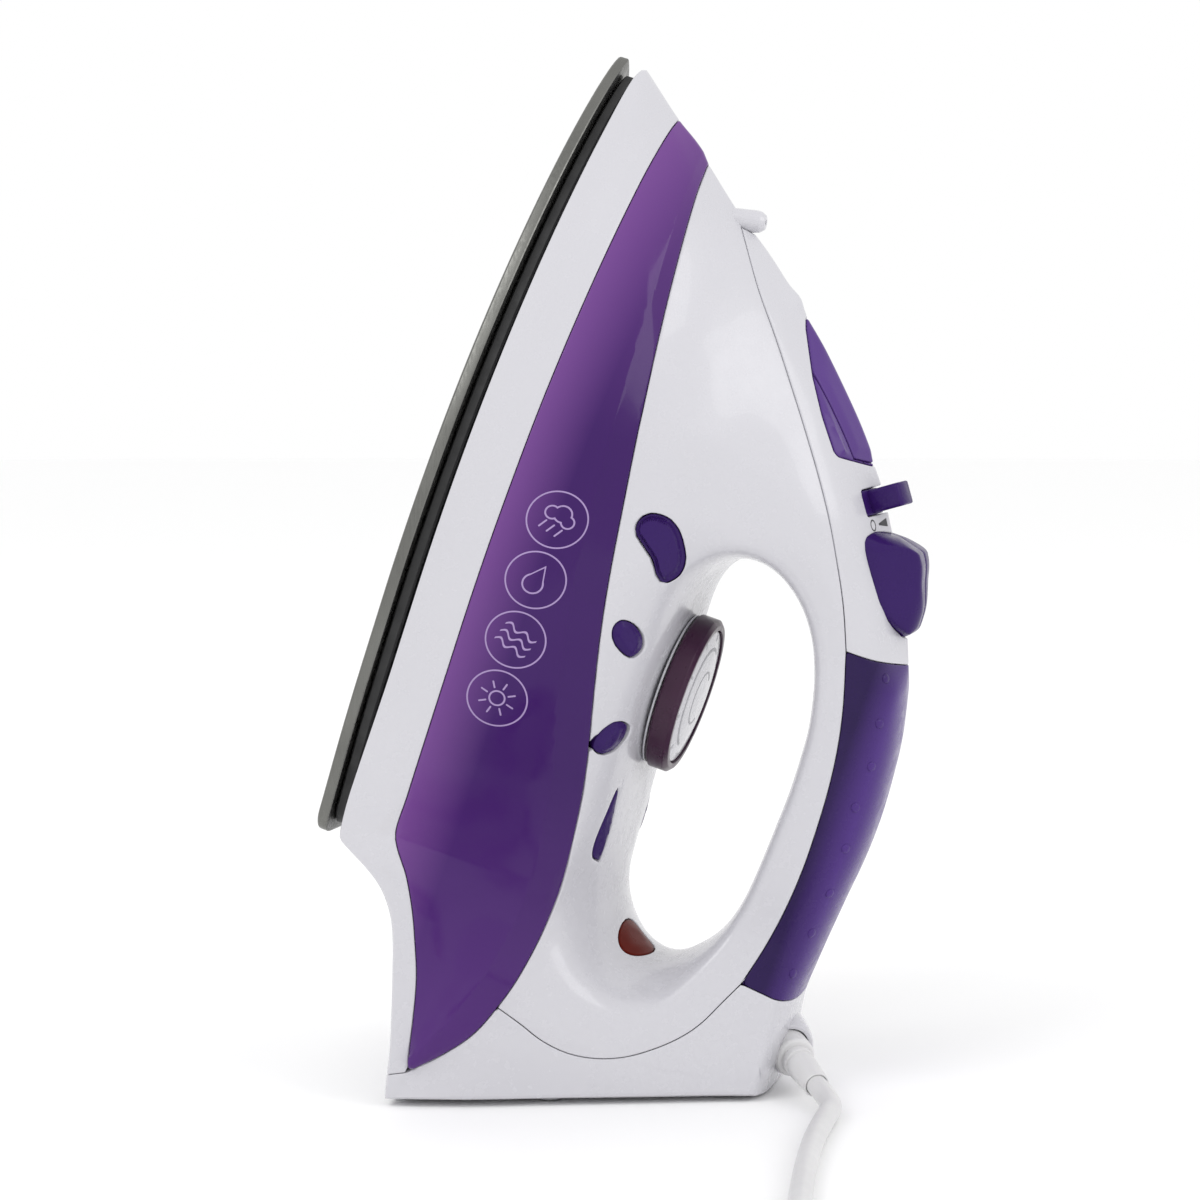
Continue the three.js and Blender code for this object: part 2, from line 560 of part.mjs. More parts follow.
// Ring sector across the slope, between two radii and two angles from its middle.
function bandSector(inner, outer, from, to, width) {
  const shape = new THREE.Shape();
  shape.absarc(0, 0, outer, Math.PI / 2 - from, Math.PI / 2 - to, true);
  shape.absarc(0, 0, inner, Math.PI / 2 - to, Math.PI / 2 - from, false);
  const options = { depth: width, bevelEnabled: false, curveSegments: 10 };
  const geometry = new THREE.ExtrudeGeometry(shape, options);
  geometry.translate(0, 0, -width / 2);
  const side = new THREE.Vector3(0, 1, 0);
  const along = new THREE.Vector3().crossVectors(side, SLOPE_UP);
  geometry.applyMatrix4(new THREE.Matrix4().makeBasis(side, SLOPE_UP, along));
  geometry.translate(SLIDER_AXIS[1], 0, SLIDER_AXIS[0]);
  return solid(geometry);
}

function steamSlider() {
  const band = bandSector(BAND_RADIUS - 1.5, BAND_RADIUS, -WINDOW_ANGLE - SLIDER_HIGH,
    WINDOW_ANGLE - SLIDER_LOW, SLIDER_WIDTH);
  const knob = bandSector(BAND_RADIUS - 0.7, SLIDER_RADIUS + KNOB_HEIGHT, SLIDER_REST - KNOB_HALF_ANGLE,
    SLIDER_REST + KNOB_HALF_ANGLE, SLIDER_WIDTH - 2 * GAP);
  return band.add(knob);
}

// Groove inside the covers that the band turns in.
function bandRoom() {
  return bandSector(12, BAND_RADIUS + GAP, -1.6, 1.7, SLIDER_WIDTH + 2 * GAP);
}

function valveNeedle() {
  const rod = bar([25, 0, VALVE_FORWARD], [102, 0, VALVE_FORWARD], 1.5, 12);
  return rod.add(bar([20, 0, VALVE_FORWARD], [25.5, 0, VALVE_FORWARD], 0.5, 12, 1.5));
}

function valveSeat() {
  return sleeve([21, 0, VALVE_FORWARD], [28, 0, VALVE_FORWARD], 4, 1.9, 16);
}

// ---------- thumb buttons and their pumps ----------
const BUTTON_SIDE = [[95.4, 126.6], [97.8, 129], [99.8, 129.9], [103.4, 129.8], [118.8, 124.8],
  [119.6, 122.6], [120.8, 117.6], [121.7, 114.1], [121.7, 107.4], [118, 107.6], [113.1, 110.3], [109.1, 112.9],
  [103.7, 117], [99.5, 121], [97.5, 123.4]];
// Half of the plan outline of both buttons together, as [side, forward].
const BUTTON_PLAN = [[2, 95.6], [3.4, 96.2], [6.8, 97.5], [9.5, 99.5], [12, 103.7], [13.1, 109.1], [13.6, 113.1],
  [13.7, 115.4], [13.2, 118], [12, 119], [10.4, 119.8], [8.3, 120.5], [6.1, 120.8], [2.6, 121]];
// Section across both buttons as [height, side]: narrower towards the crown.
const BUTTON_SECTION = [[100, -14], [113, -14], [126, -8.4], [128.8, -6], [129.9, -3], [129.9, 3],
  [128.8, 6], [126, 8.4], [113, 14], [100, 14]];
// Stem under the buttons that pushes on the pump.
const BUTTON_STEM = [[106, 112.1], [106, 122], [118, 120], [120.4, 114], [120.4, 104], [119.5, 104]];
const BUTTON_STEM_EDGE = 8;
const BUTTON_SPLIT = 0.5; // gap between the two buttons
// Side outlines of the room that the buttons and their stems need over the whole press.
const BUTTON_ROOM = [[94, 121], [97.5, 118.6], [103.7, 112.4], [109.1, 108.3], [113.1, 105.7], [118, 103],
  [123, 103], [123, 135], [94, 135]];
const STEM_ROOM = [[105.7, 107.4], [105.7, 122], [120.7, 122], [120.7, 99.4], [119.3, 99.4]];

// Upright block of both buttons' plan outline.
function buttonPlan(grow = 0) {
  const mirrored = [...BUTTON_PLAN].reverse().map(([side, forward]) => [-side, forward]);
  return planPrism(inset([...BUTTON_PLAN, ...mirrored], -grow), 95, 135);
}

function buttonRoom() {
  const room = buttonPlan(GAP).intersect(sidePrism(BUTTON_ROOM, -20, 20));
  return room.add(sidePrism(STEM_ROOM, -BUTTON_STEM_EDGE - GAP, BUTTON_STEM_EDGE + GAP));
}

function buttonFace(side) {
  const shape = new THREE.Shape(BUTTON_SECTION.map(([height, across]) => new THREE.Vector2(height, across)));
  const section = new THREE.ExtrudeGeometry(shape, { depth: 40, bevelEnabled: false });
  section.translate(0, 0, 90);
  const inner = BUTTON_SPLIT / 2;
  const reach = (edge) => (side < 0 ? [-edge, -inner] : [inner, edge]);
  const face = sidePrism(BUTTON_SIDE, ...reach(20)).intersect(buttonPlan()).intersect(solid(section));
  return face.add(sidePrism(BUTTON_STEM, ...reach(BUTTON_STEM_EDGE)));
}

function handleCover() {
  let cover = skin('cover').subtract(surroundBlock(0));
  cover = cover.subtract(buttonRoom());
  const window = bandSector(12, SLIDER_RADIUS + 12, -WINDOW_ANGLE, WINDOW_ANGLE, SLIDER_WIDTH + 2 * GAP);
  cover = cover.subtract(window);
  cover = cover.subtract(bandRoom());
  return cover.subtract(bar(NOZZLE_ROOT, NOZZLE_TIP, NOZZLE_RADIUS + GAP));
}

function pumpSpring(side) {
  const turns = 4;
  const bottom = 97.4;
  const top = 104.6;
  const points = [];
  for (let i = 0; i <= turns * 10; i += 1) {
    const angle = (2 * Math.PI * i) / 10;
    const height = bottom + 0.5 + ((top - bottom - 1) * i) / (turns * 10);
    const across = SPRING_RADIUS * Math.cos(angle);
    points.push([height, side + across, PUMP_FORWARD + SPRING_RADIUS * Math.sin(angle)]);
  }
  return hose(points, SPRING_WIRE, turns * 10, 5);
}

// ---------- temperature dial and thermostat ----------
// Turned piece about the dial's axis, from a closed profile of [radius, height] points.
function turned(profile, segments = 28, forward = DIAL_CENTRE, side = 0) {
  const points = [...profile, profile[0]].map(([radius, height]) => new THREE.Vector2(radius, height));
  const geometry = new THREE.LatheGeometry(points, segments);
  geometry.rotateZ(-Math.PI / 2);
  geometry.translate(0, side, forward);
  return solid(geometry);
}

function dialRing() {
  return turned([[19.6, 71.3], [DIAL_RADIUS - 0.6, 71.3], [DIAL_RADIUS, 71.9], [DIAL_RADIUS, 76.6],
    [DIAL_RADIUS - 1.2, 77.7], [19.6, 77.7]]);
}

function dialDisc() {
  return turned([[3.2, 71.3], [19.3, 71.3], [19.3, 77.3], [12, 78.3], [0, 78.7], [0, 75], [3.2, 75]]);
}

function dialSeat() {
  return turned([[3.6, DIAL_SEAT + GAP], [21.6, DIAL_SEAT + GAP], [21.9, 70.9], [3.6, 70.9]]);
}

function thermostat() {
  const base = bar([CASTING_TOP + 1.9, 0, DIAL_CENTRE], [19.6, 0, DIAL_CENTRE], 11, 24);
  return base.add(bar([19, 0, DIAL_CENTRE], [21, 0, DIAL_CENTRE], 5, 16));
}

// ---------- rear cover, lead entry and wiring ----------
const toIron = new THREE.Matrix4().makeRotationY(-TILT)
  .multiply(new THREE.Matrix4().makeTranslation(-SOLE_REAR.x, -SOLE_REAR.y, -SOLE_REAR.z));

// Round bar between two points of the standing iron, as [x, y, z] above the table.
function standingBar(from, to, radius, sides = 16) {
  const a = new THREE.Vector3(...from).applyMatrix4(toIron).toArray();
  const b = new THREE.Vector3(...to).applyMatrix4(toIron).toArray();
  return bar(a, b, radius, sides);
}

const GUARD_ROOT = new THREE.Vector3(54, -4.5, 11.6);
const GUARD_WAY = new THREE.Vector3(0.5, -0.81, -0.24).normalize();
const GUARD_LENGTH = 24;
const BOSS_RADIUS = 8.3;
const SCREWS = [[-6, -33], [-6, 33]];

const guardPoint = (distance) => GUARD_WAY.clone().multiplyScalar(distance).add(GUARD_ROOT).toArray();

function rearCover() {
  let cover = skin('heel').subtract(zoneBlock('tank', -GAP / 2));
  const ball = new THREE.SphereGeometry(BOSS_RADIUS, 20, 12);
  ball.translate(51.3, -2, 13.6);
  ball.applyMatrix4(toIron);
  const room = cavity.intersect(zoneBlock('heel', 0));
  cover = cover.add(solid(ball).subtract(room));
  for (const [x, y] of SCREWS) {
    cover = cover.add(standingBar([x, y, 1], [x, y, 13], 4.4, 14));
    cover = cover.subtract(standingBar([x, y, -1], [x, y, 2.6], 3.7, 14));
    cover = cover.subtract(standingBar([x, y, -1], [x, y, 12], 1.8, 10));
  }
  return cover.subtract(standingBar(guardPoint(-4), guardPoint(16), 6.1, 20));
}

// A wire from the terminal block, behind the tank's rear tip and under its floor, to the element.
function wireRoute(side) {
  return [[95, 7, -26], [80, 9, -34], [62, 13, -46], [50, 17, -56], [42.6, 19, -56.8], [40.2, 20, -48],
    [38.4, 21, -39], [35.6, 22, -29], [32.6, 22, -20], [27.6, 23, -10], [21.4, 24, -2], [18.5, 24, 4],
    [18, 24, 8.6]].map(([height, out, forward]) => [height, side * out, forward]);
}

function heelScrew([x, y]) {
  return standingBar([x, y, 0.7], [x, y, 2.3], 3.3, 14).add(standingBar([x, y, 2], [x, y, 11], 1.5, 10));
}

function cordGuard() {
  const points = [[0, -2.5], [5.2, -2.5], [5.7, -1.5], [5.7, 7.4], [5, 8.2], [4.4, 8.4], [3.5, GUARD_LENGTH],
    [0, GUARD_LENGTH]];
  const profile = points.map(([radius, along]) => new THREE.Vector2(radius, along));
  const geometry = new THREE.LatheGeometry(profile, 20);
  geometry.applyQuaternion(new THREE.Quaternion().setFromUnitVectors(new THREE.Vector3(0, 1, 0), GUARD_WAY));
  geometry.translate(...GUARD_ROOT.toArray());
  return geometry;
}

// ---------- mains lead, coiled on the table ----------
const COIL_CENTRE = [44.4, -221];
const COIL_RADIUS = 33.4;
const COIL_HALF_WIDTH = 12.9;
const COIL_FLOOR = 1.3;
const COIL_HEIGHT = 11.7;
const LEAD_HEIGHT = LEAD_DIAMETER / 2 + 0.05;
const leadStart = guardPoint(GUARD_LENGTH + GAP);
const leadNear = guardPoint(GUARD_LENGTH + 6);
const LEAD_ROUTE = [leadStart, leadNear, [72.2, -37, 3.3], [72.6, -50, LEAD_HEIGHT],
  [73.4, -70, LEAD_HEIGHT], [76, -98, LEAD_HEIGHT], [79.6, -126, LEAD_HEIGHT],
  [83.4, -154, LEAD_HEIGHT], [86.4, -180, 3.4], [87.8, -205, 4.2], [87.8, -219, 4.2]];
const TAIL_ROUTE = [[44.4, -264.4, 10.1], [33, -264.3, 9.9], [22, -263.9, 9.5], [11, -263.3, 9.1],
  [2, -263, 9]];
const PLUG_START = [1.6, -263, 9];
const PLUG_LENGTH = 38;
const BLADE_SIDE = 6.35; // distance of each blade's middle from the plug's middle
const BLADE_LENGTH = 16.7;
const BLADE_HALF_THICKNESS = 0.75;
const BLADE_HALF_HEIGHT = 3.2;

function coilRing(grow) {
  const inner = COIL_RADIUS - COIL_HALF_WIDTH - grow;
  const outer = COIL_RADIUS + COIL_HALF_WIDTH + grow;
  const low = COIL_FLOOR - grow;
  const high = COIL_FLOOR + COIL_HEIGHT + grow;
  const cut = 3.5;
  const profile = [[inner + cut, low], [outer - cut, low], [outer, low + cut], [outer, high - cut],
    [outer - cut, high], [inner + cut, high], [inner, high - cut], [inner, low + cut], [inner + cut, low]];
  const geometry = new THREE.LatheGeometry(profile.map(([x, y]) => new THREE.Vector2(x, y)), 36);
  geometry.rotateX(Math.PI / 2);
  geometry.translate(COIL_CENTRE[0], COIL_CENTRE[1], 0);
  return solid(geometry);
}

// Strap round the coil's turns, on the side away from the lead.
function coilTie() {
  const cross = (distance) => {
    const wide = COIL_HALF_WIDTH + distance;
    const low = COIL_FLOOR - distance;
    const high = COIL_FLOOR + COIL_HEIGHT + distance;
    return [[-wide, low + 3], [-wide + 3, low], [wide - 3, low], [wide, low + 3], [wide, high - 3],
      [wide - 3, high], [-wide + 3, high], [-wide, high - 3]].map(([x, y]) => new THREE.Vector2(x, y));
  };
  const shape = new THREE.Shape(cross(1.25));
  shape.holes.push(new THREE.Path(cross(0.55).reverse()));
  const geometry = new THREE.ExtrudeGeometry(shape, { depth: 8, bevelEnabled: false });
  geometry.translate(0, 0, -4);
  geometry.rotateX(Math.PI / 2);
  geometry.translate(COIL_CENTRE[0] - COIL_RADIUS, COIL_CENTRE[1], 0);
  return solid(geometry);
}

function plugBody() {
  const [x, y, z] = PLUG_START;
  const outline = [[0, 3.4], [4, 4.2], [10, 6.4], [14, 9.6], [17, 11.4], [33, 11.8], [36.4, 11],
    [PLUG_LENGTH, 9.4]];
  const plan = [...outline, ...rise(outline).map(([along, half]) => [along, -half])];
  const shape = new THREE.Shape(plan.map(([along, half]) => new THREE.Vector2(x - along, y + half)));
  const geometry = new THREE.ExtrudeGeometry(shape, { depth: 15, bevelEnabled: false });
  geometry.translate(0, 0, z - 8.4);
  return solid(geometry);
}

function plugBlade(side) {
  const [x, y, z] = PLUG_START;
  const root = x - PLUG_LENGTH - GAP;
  const middle = y + side * BLADE_SIDE;
  return block([root - BLADE_LENGTH, middle - BLADE_HALF_THICKNESS, z - BLADE_HALF_HEIGHT],
    [root, middle + BLADE_HALF_THICKNESS, z + BLADE_HALF_HEIGHT]);
}

// ---------- assembly ----------
piece('soleplate', soleplate(), SOLE_GREY);
piece('heater_casting', heaterCasting(), ALUMINIUM);
piece('heating_element', hose(elementRun, ELEMENT_RADIUS, 44), STEEL);
piece('steam_chamber_cover', chamberCover(), STEEL);
piece('heat_shield', heatShield(), BLACK);
piece('skirt', skirt(), WHITE);
piece('water_tank', waterTank(), TANK_PURPLE);
piece('main_housing', mainHousing(), WHITE);
piece('handle_cover', handleCover(), WHITE);
piece('grip', skin('grip'), GRIP_PURPLE);
piece('rear_cover', rearCover(), WHITE);

for (const { name, outline, depth } of INSERTS) {
  for (const [label, side] of [['left', -1], ['right', 1]]) {
    const plug = body.intersect(sideBlock(outline, depth, side, GAP));
    const button = name === 'self_clean' && side < 0;
    const title = button ? 'self_clean_button' : `${name === 'self_clean' ? 'kidney' : name}_trim_${label}`;
    piece(title, plug, PURPLE);
  }
}

piece('spray_nozzle', sprayNozzle(), WHITE);
piece('filler_surround', fillerSurround(), TANK_PURPLE);
piece('filler_door', fillerDoor(), TANK_PURPLE);
piece('filler_funnel', fillerFunnel(), LEAD_WHITE);
piece('steam_slider', steamSlider(), PURPLE);
piece('valve_needle', valveNeedle(), STEEL);
piece('valve_seat', valveSeat(), BRASS);

for (const [name, side] of [['spray', -1], ['steam', 1]]) {
  const middle = side * PUMP_SIDE;
  piece(`${name}_button`, buttonFace(side), PURPLE);
  const at = (height) => [height, middle, PUMP_FORWARD];
  piece(`${name}_plunger`, bar(at(84), at(104.8), PLUNGER_RADIUS), LEAD_WHITE);
  piece(`${name}_pump`, sleeve(at(76), at(97), PUMP_RADIUS, PUMP_BORE), LEAD_WHITE);
  piece(`${name}_spring`, pumpSpring(middle), STEEL);
  piece(`${name}_feed_tube`, bar(at(30), at(75.6), FEED_RADIUS, 8), LEAD_WHITE);
}
piece('spray_hose', hose([[74, -15, 117], [68, -15, 130], [61, -13, 150], [54, -7, 170], [48.5, -1, 182]],
  1.5, 14), RUBBER);

piece('dial_seat', dialSeat(), WHITE);
piece('dial_ring', dialRing(), PLUM);
piece('dial_disc', dialDisc(), WHITE);
piece('dial_shaft', bar([21.3, 0, DIAL_CENTRE], [74.6, 0, DIAL_CENTRE], SHAFT_RADIUS), STEEL);
piece('thermostat', thermostat(), CERAMIC);
piece('thermal_fuse', bar([18.2, -6, 28], [18.2, 8, 28], 2, 12), CERAMIC);
piece('lamp_lens', shell.intersect(lensBlock(5.6)), LAMP_RED);
piece('neon_lamp', bar([77.5, -6, -13], [77.5, 6, -13], 2.4, 14), LAMP_RED);

piece('terminal_block', block([96, -11, -34], [108, 11, -18]), CERAMIC);
piece('live_wire', hose(wireRoute(-1), 1.2, 22, 6), LAMP_RED);
piece('neutral_wire', hose(wireRoute(1), 1.2, 22, 6), BLACK);
SCREWS.forEach((at, i) => piece(`heel_screw_${i ? 'right' : 'left'}`, heelScrew(at), STEEL));

piece('cord_guard', cordGuard(), LEAD_WHITE, part);
const ringRoom = coilRing(GAP);
piece('lead_tube', solid(hose(LEAD_ROUTE, LEAD_DIAMETER / 2, 26, 10)).subtract(ringRoom), LEAD_WHITE, part);
piece('lead_coil', coilRing(0), LEAD_WHITE, part);
piece('lead_tail', solid(hose(TAIL_ROUTE, LEAD_DIAMETER / 2, 8, 10)).subtract(ringRoom), LEAD_WHITE, part);
piece('coil_tie', coilTie(), BLACK, part);
piece('plug_body', plugBody(), LEAD_WHITE, part);
piece('plug_blade_left', plugBlade(-1), BRASS, part);
piece('plug_blade_right', plugBlade(1), BRASS, part);

export default part;
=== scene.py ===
# Looks of a steam iron that stands on its heel: glossy covers, tinted tank, dial, buttons and lead.
#
# The iron's own pieces are drawn in its lying position, in millimetres, as [forward, side, height]:
# forward runs along the sole from its rear edge, height is above the sole's underside. to_row()
# tips them up into the row's frame, in metres. Side outlines are lists of [forward, height].
import math

import bmesh
import bpy
import numpy as np
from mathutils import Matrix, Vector


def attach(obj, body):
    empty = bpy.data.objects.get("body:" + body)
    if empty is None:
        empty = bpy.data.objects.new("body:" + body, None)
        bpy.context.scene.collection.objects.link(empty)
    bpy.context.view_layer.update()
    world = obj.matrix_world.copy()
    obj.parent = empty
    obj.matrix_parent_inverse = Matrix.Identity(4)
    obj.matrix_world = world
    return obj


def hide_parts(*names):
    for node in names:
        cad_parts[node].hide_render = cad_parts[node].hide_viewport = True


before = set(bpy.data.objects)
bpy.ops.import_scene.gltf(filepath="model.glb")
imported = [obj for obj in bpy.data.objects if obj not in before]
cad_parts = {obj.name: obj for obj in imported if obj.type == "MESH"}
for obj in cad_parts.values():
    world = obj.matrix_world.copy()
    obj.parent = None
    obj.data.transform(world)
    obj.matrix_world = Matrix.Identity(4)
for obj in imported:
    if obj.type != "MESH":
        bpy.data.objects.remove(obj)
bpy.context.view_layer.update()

MM = 0.001
TILT = math.radians(18.5)
SOLE_REAR = np.array([-65.0, 0.0, 75.1])
FORWARD = np.array([math.sin(TILT), 0.0, math.cos(TILT)])
UPWARD = np.array([math.cos(TILT), 0.0, -math.sin(TILT)])
SIDEWAYS = np.array([0.0, 1.0, 0.0])

GAP = 0.3  # round the parts that sit in an opening
SEAM = 0.1  # on each side of a joint line between two covers
WALL = 2.4


def to_row(points):
    """Points of the lying iron, in millimetres, as points of the row, in metres."""
    p = np.asarray(points, float)
    return (SOLE_REAR + p[:, :1] * FORWARD + p[:, 1:2] * SIDEWAYS + p[:, 2:3] * UPWARD) * MM


# ---------- camera ----------
CAMERA_PLACE = (0.1935, -0.7762, 0.189)
CAMERA_AIM = (0, 0, 0.134)
CAMERA_LENS = 85.9


def make_camera():
    data = bpy.data.cameras.new("camera")
    data.sensor_width = 36
    data.lens = CAMERA_LENS
    camera = bpy.data.objects.new("camera", data)
    bpy.context.collection.objects.link(camera)
    camera.location = CAMERA_PLACE
    aim = Vector(CAMERA_AIM) - camera.location
    camera.rotation_euler = aim.to_track_quat("-Z", "Y").to_euler()
    bpy.context.scene.camera = camera


make_camera()


# ---------- smooth lines ----------
def smooth_run(points, spacing):
    """Centripetal Catmull-Rom curve through an open run of points, at an even spacing."""
    p = np.asarray(points, float)
    if len(p) == 2:
        count = max(1, int(round(np.linalg.norm(p[1] - p[0]) / spacing)))
        return p[0] + (p[1] - p[0]) * np.linspace(0, 1, count + 1)[:, None]
    p = np.vstack([2 * p[0] - p[1], p, 2 * p[-1] - p[-2]])
    fine = []
    for a, b, c, d in zip(p[:-3], p[1:-2], p[2:-1], p[3:]):
        t1 = np.linalg.norm(b - a) ** 0.5
        t2 = t1 + np.linalg.norm(c - b) ** 0.5
        t3 = t2 + np.linalg.norm(d - c) ** 0.5
        t = np.linspace(t1, t2, 25)[:-1, None]
        ab = (t1 - t) / t1 * a + t / t1 * b
        bc = (t2 - t) / (t2 - t1) * b + (t - t1) / (t2 - t1) * c
        cd = (t3 - t) / (t3 - t2) * c + (t - t2) / (t3 - t2) * d
        abc = (t2 - t) / t2 * ab + t / t2 * bc
        bcd = (t3 - t) / (t3 - t1) * bc + (t - t1) / (t3 - t1) * cd
        fine.append((t2 - t) / (t2 - t1) * abc + (t - t1) / (t2 - t1) * bcd)
    fine = np.vstack(fine + [p[-2]])
    along = np.concatenate([[0], np.cumsum(np.linalg.norm(np.diff(fine, axis=0), axis=1))])
    count = max(1, int(round(along[-1] / spacing)))
    at = np.linspace(0, along[-1], count + 1)
    return np.column_stack([np.interp(at, along, fine[:, k]) for k in range(p.shape[1])])


def smooth_line(points, spacing, closed=False, corner=38):
    """Smooth line that keeps the corners sharper than a given angle in degrees."""
    p = [np.asarray(q, float) for q in points]
    count = len(p)
    sharp = []
    for i in range(count):
        before, after = p[i] - p[i - 1], p[(i + 1) % count] - p[i]
        turn = np.dot(before, after) / (np.linalg.norm(before) * np.linalg.norm(after))
        sharp.append(turn < math.cos(math.radians(corner)))
    if not closed:
        sharp[0] = sharp[-1] = True
        cuts = [i for i in range(count) if sharp[i]]
        runs = [p[a:b + 1] for a, b in zip(cuts[:-1], cuts[1:])]
        lines = [smooth_run(run, spacing) for run in runs]
        return np.vstack([line[:-1] for line in lines] + [lines[-1][-1:]])
    cuts = [i for i in range(count) if sharp[i]]
    if not cuts:
        wrapped = p[-3:] + p + p[:3]
        line = smooth_run(wrapped, spacing / 8)
        start = np.argmin(np.linalg.norm(line[: len(line) // 3] - p[0], axis=1))
        end = len(line) // 2 + np.argmin(np.linalg.norm(line[len(line) // 2:] - p[0], axis=1))
        return line[start:end:8]
    runs = []
    for a, b in zip(cuts, cuts[1:] + [cuts[0] + count]):
        runs.append([p[i % count] for i in range(a, b + 1)])
    return np.vstack([smooth_run(run, spacing)[:-1] for run in runs])


def soften(profile, radius, closed=False, count=4, flat=155):
    """Profile with short curves for the corners that are sharper than an angle in degrees. A corner may
    carry its own radius as a third number."""
    out = []
    n = len(profile)
    for i, q in enumerate(profile):
        if not closed and i in (0, n - 1):
            out.append(q[:2])
            continue
        a, b, c = (np.array(profile[k % n][:2], float) for k in (i - 1, i, i + 1))
        u, v = a - b, c - b
        lu, lv = np.linalg.norm(u), np.linalg.norm(v)
        turn = math.acos(np.clip(np.dot(u, v) / (lu * lv), -1, 1))
        if turn > math.radians(flat):
            out.append(list(b))
            continue
        own = q[2] if len(q) > 2 else radius
        cut = min(own / math.tan(turn / 2), lu * 0.45, lv * 0.45)
        start, end = b + u / lu * cut, b + v / lv * cut
        for k in range(count + 1):
            t = k / count
            out.append(list((1 - t) ** 2 * start + 2 * t * (1 - t) * b + t * t * end))
    return out


def smooth_step(value):
    t = np.clip(value, 0, 1)
    return t * t * (3 - 2 * t)


def table_curve(table):
    """Smooth function through a table of [at, value], with no overshoot."""
    x, y = np.array(table, float).T
    slope = np.diff(y) / np.diff(x)
    m = np.concatenate([[slope[0]], (slope[:-1] + slope[1:]) / 2, [slope[-1]]])
    m[1:-1][slope[:-1] * slope[1:] <= 0] = 0
    for k in range(len(slope)):
        limit = 3 * abs(slope[k])
        m[k] = np.clip(m[k], -limit, limit)
        m[k + 1] = np.clip(m[k + 1], -limit, limit)

    def curve(at):
        at = np.clip(at, x[0], x[-1])
        k = np.clip(np.searchsorted(x, at) - 1, 0, len(slope) - 1)
        h = x[k + 1] - x[k]
        t = (at - x[k]) / h
        return ((1 + 2 * t) * (1 - t) ** 2 * y[k] + t * (1 - t) ** 2 * h * m[k]
                + t * t * (3 - 2 * t) * y[k + 1] + t * t * (t - 1) * h * m[k + 1])

    return curve


def outline_distance(points, outline, closed=True):
    """Distance from each point to a line, negative outside it where the line is closed."""
    p = np.asarray(points, float)
    a = np.asarray(outline, float)
    b = np.roll(a, -1, axis=0)
    if not closed:
        a, b = a[:-1], b[:-1]
    best = np.full(len(p), 1e18)
    inside = np.zeros(len(p), bool)
    for (ax, ay), (bx, by) in zip(a, b):
        dx, dy = bx - ax, by - ay
        t = np.clip(((p[:, 0] - ax) * dx + (p[:, 1] - ay) * dy) / (dx * dx + dy * dy), 0, 1)
        best = np.minimum(best, (p[:, 0] - ax - t * dx) ** 2 + (p[:, 1] - ay - t * dy) ** 2)
        if closed and ay != by:
            crosses = (ay > p[:, 1]) != (by > p[:, 1])
            inside ^= crosses & (p[:, 0] < ax + (p[:, 1] - ay) * dx / dy)
    best = np.sqrt(best)
    return np.where(inside, best, -best) if closed else best


# ---------- the iron's form ----------
SOLE_LENGTH = 221
SOLE_HALF_WIDTH = 61.5
SOLE_REAR_HALF_WIDTH = 58
SOLE_THICKNESS = 3.4
NOSE_REACH = 150
NOSE_POWER = 0.81
BODY_FLOOR = 7.2
SKIRT_TOP = 22.2
DIAL_SEAT = 70

FRONT_SLOPE = table_curve([[0, 221], [7, 220.5], [20, 211], [35, 199.5], [45.5, 191], [54, 185.5],
                           [70, 172.5], [80, 163], [90, 153], [104, 137], [113.5, 123], [121, 110],
                           [128, 95], [133, 79], [136.3, 57]])
SHOULDER_WIDTH = table_curve([[7, 59.5], [22, 58], [40, 52.5], [57, 45], [64, 38], [70, 28], [74, 25],
                              [85, 24], [100, 20], [113, 18.5], [140, 18]])
COLUMN_WIDTH = table_curve([[7, 59.5], [22, 58], [40, 52.5], [57, 45], [70, 36], [85, 29], [100, 24],
                            [113, 20], [125, 18.5], [140, 18]])
HEEL_WIDTH = table_curve([[0, 59], [40, 54], [60, 50], [80, 43], [100, 36], [120, 29], [134, 25]])
NOSE_REACH_AT = table_curve([[0, NOSE_REACH], [22, 145], [50, 125], [70, 85], [90, 45], [113, 30], [140, 25]])

HEEL_HEIGHTS = [134, 124, 112, 98, 84, 70, 56.5, 46, 39]
HEEL_FLAT = [[(h * math.sin(TILT) - SOLE_REAR[2]) / math.cos(TILT), h] for h in HEEL_HEIGHTS]
BODY_OUTLINE = [*[[f, BODY_FLOOR] for f in (1, 50, 100, 150, 200, 217)], [220.3, 8.2], [216.5, 13],
                [211, 20], [205.5, 27.5], [199.5, 35], [191, 45.5], [182, 58.5], [172.5, 70], [163, 80],
                [153, 90], [145.5, 97], [137, 104], [130.5, 109], [123, 113.5], [116.5, 117.5], [110, 121],
                [102.5, 125], [95, 128], [87, 131], [79, 133], [68, 135.2], [57, 136.3], [45, 136.8],
                [33, 136.3], [21, 135], [9, 133.8], [0, 133], [-8, 132.4], [-17, 133], [-26, 133.4],
                *HEEL_FLAT, [-58, 37.2], [-50.3, 35.7], [-41, 33.2], [-30.2, 30.1], [-22.9, 27.8],
                [-16, 25], [-9.4, 20.6], [-5.2, 15.9], [-2, 10.9], [-0.3, 8]]
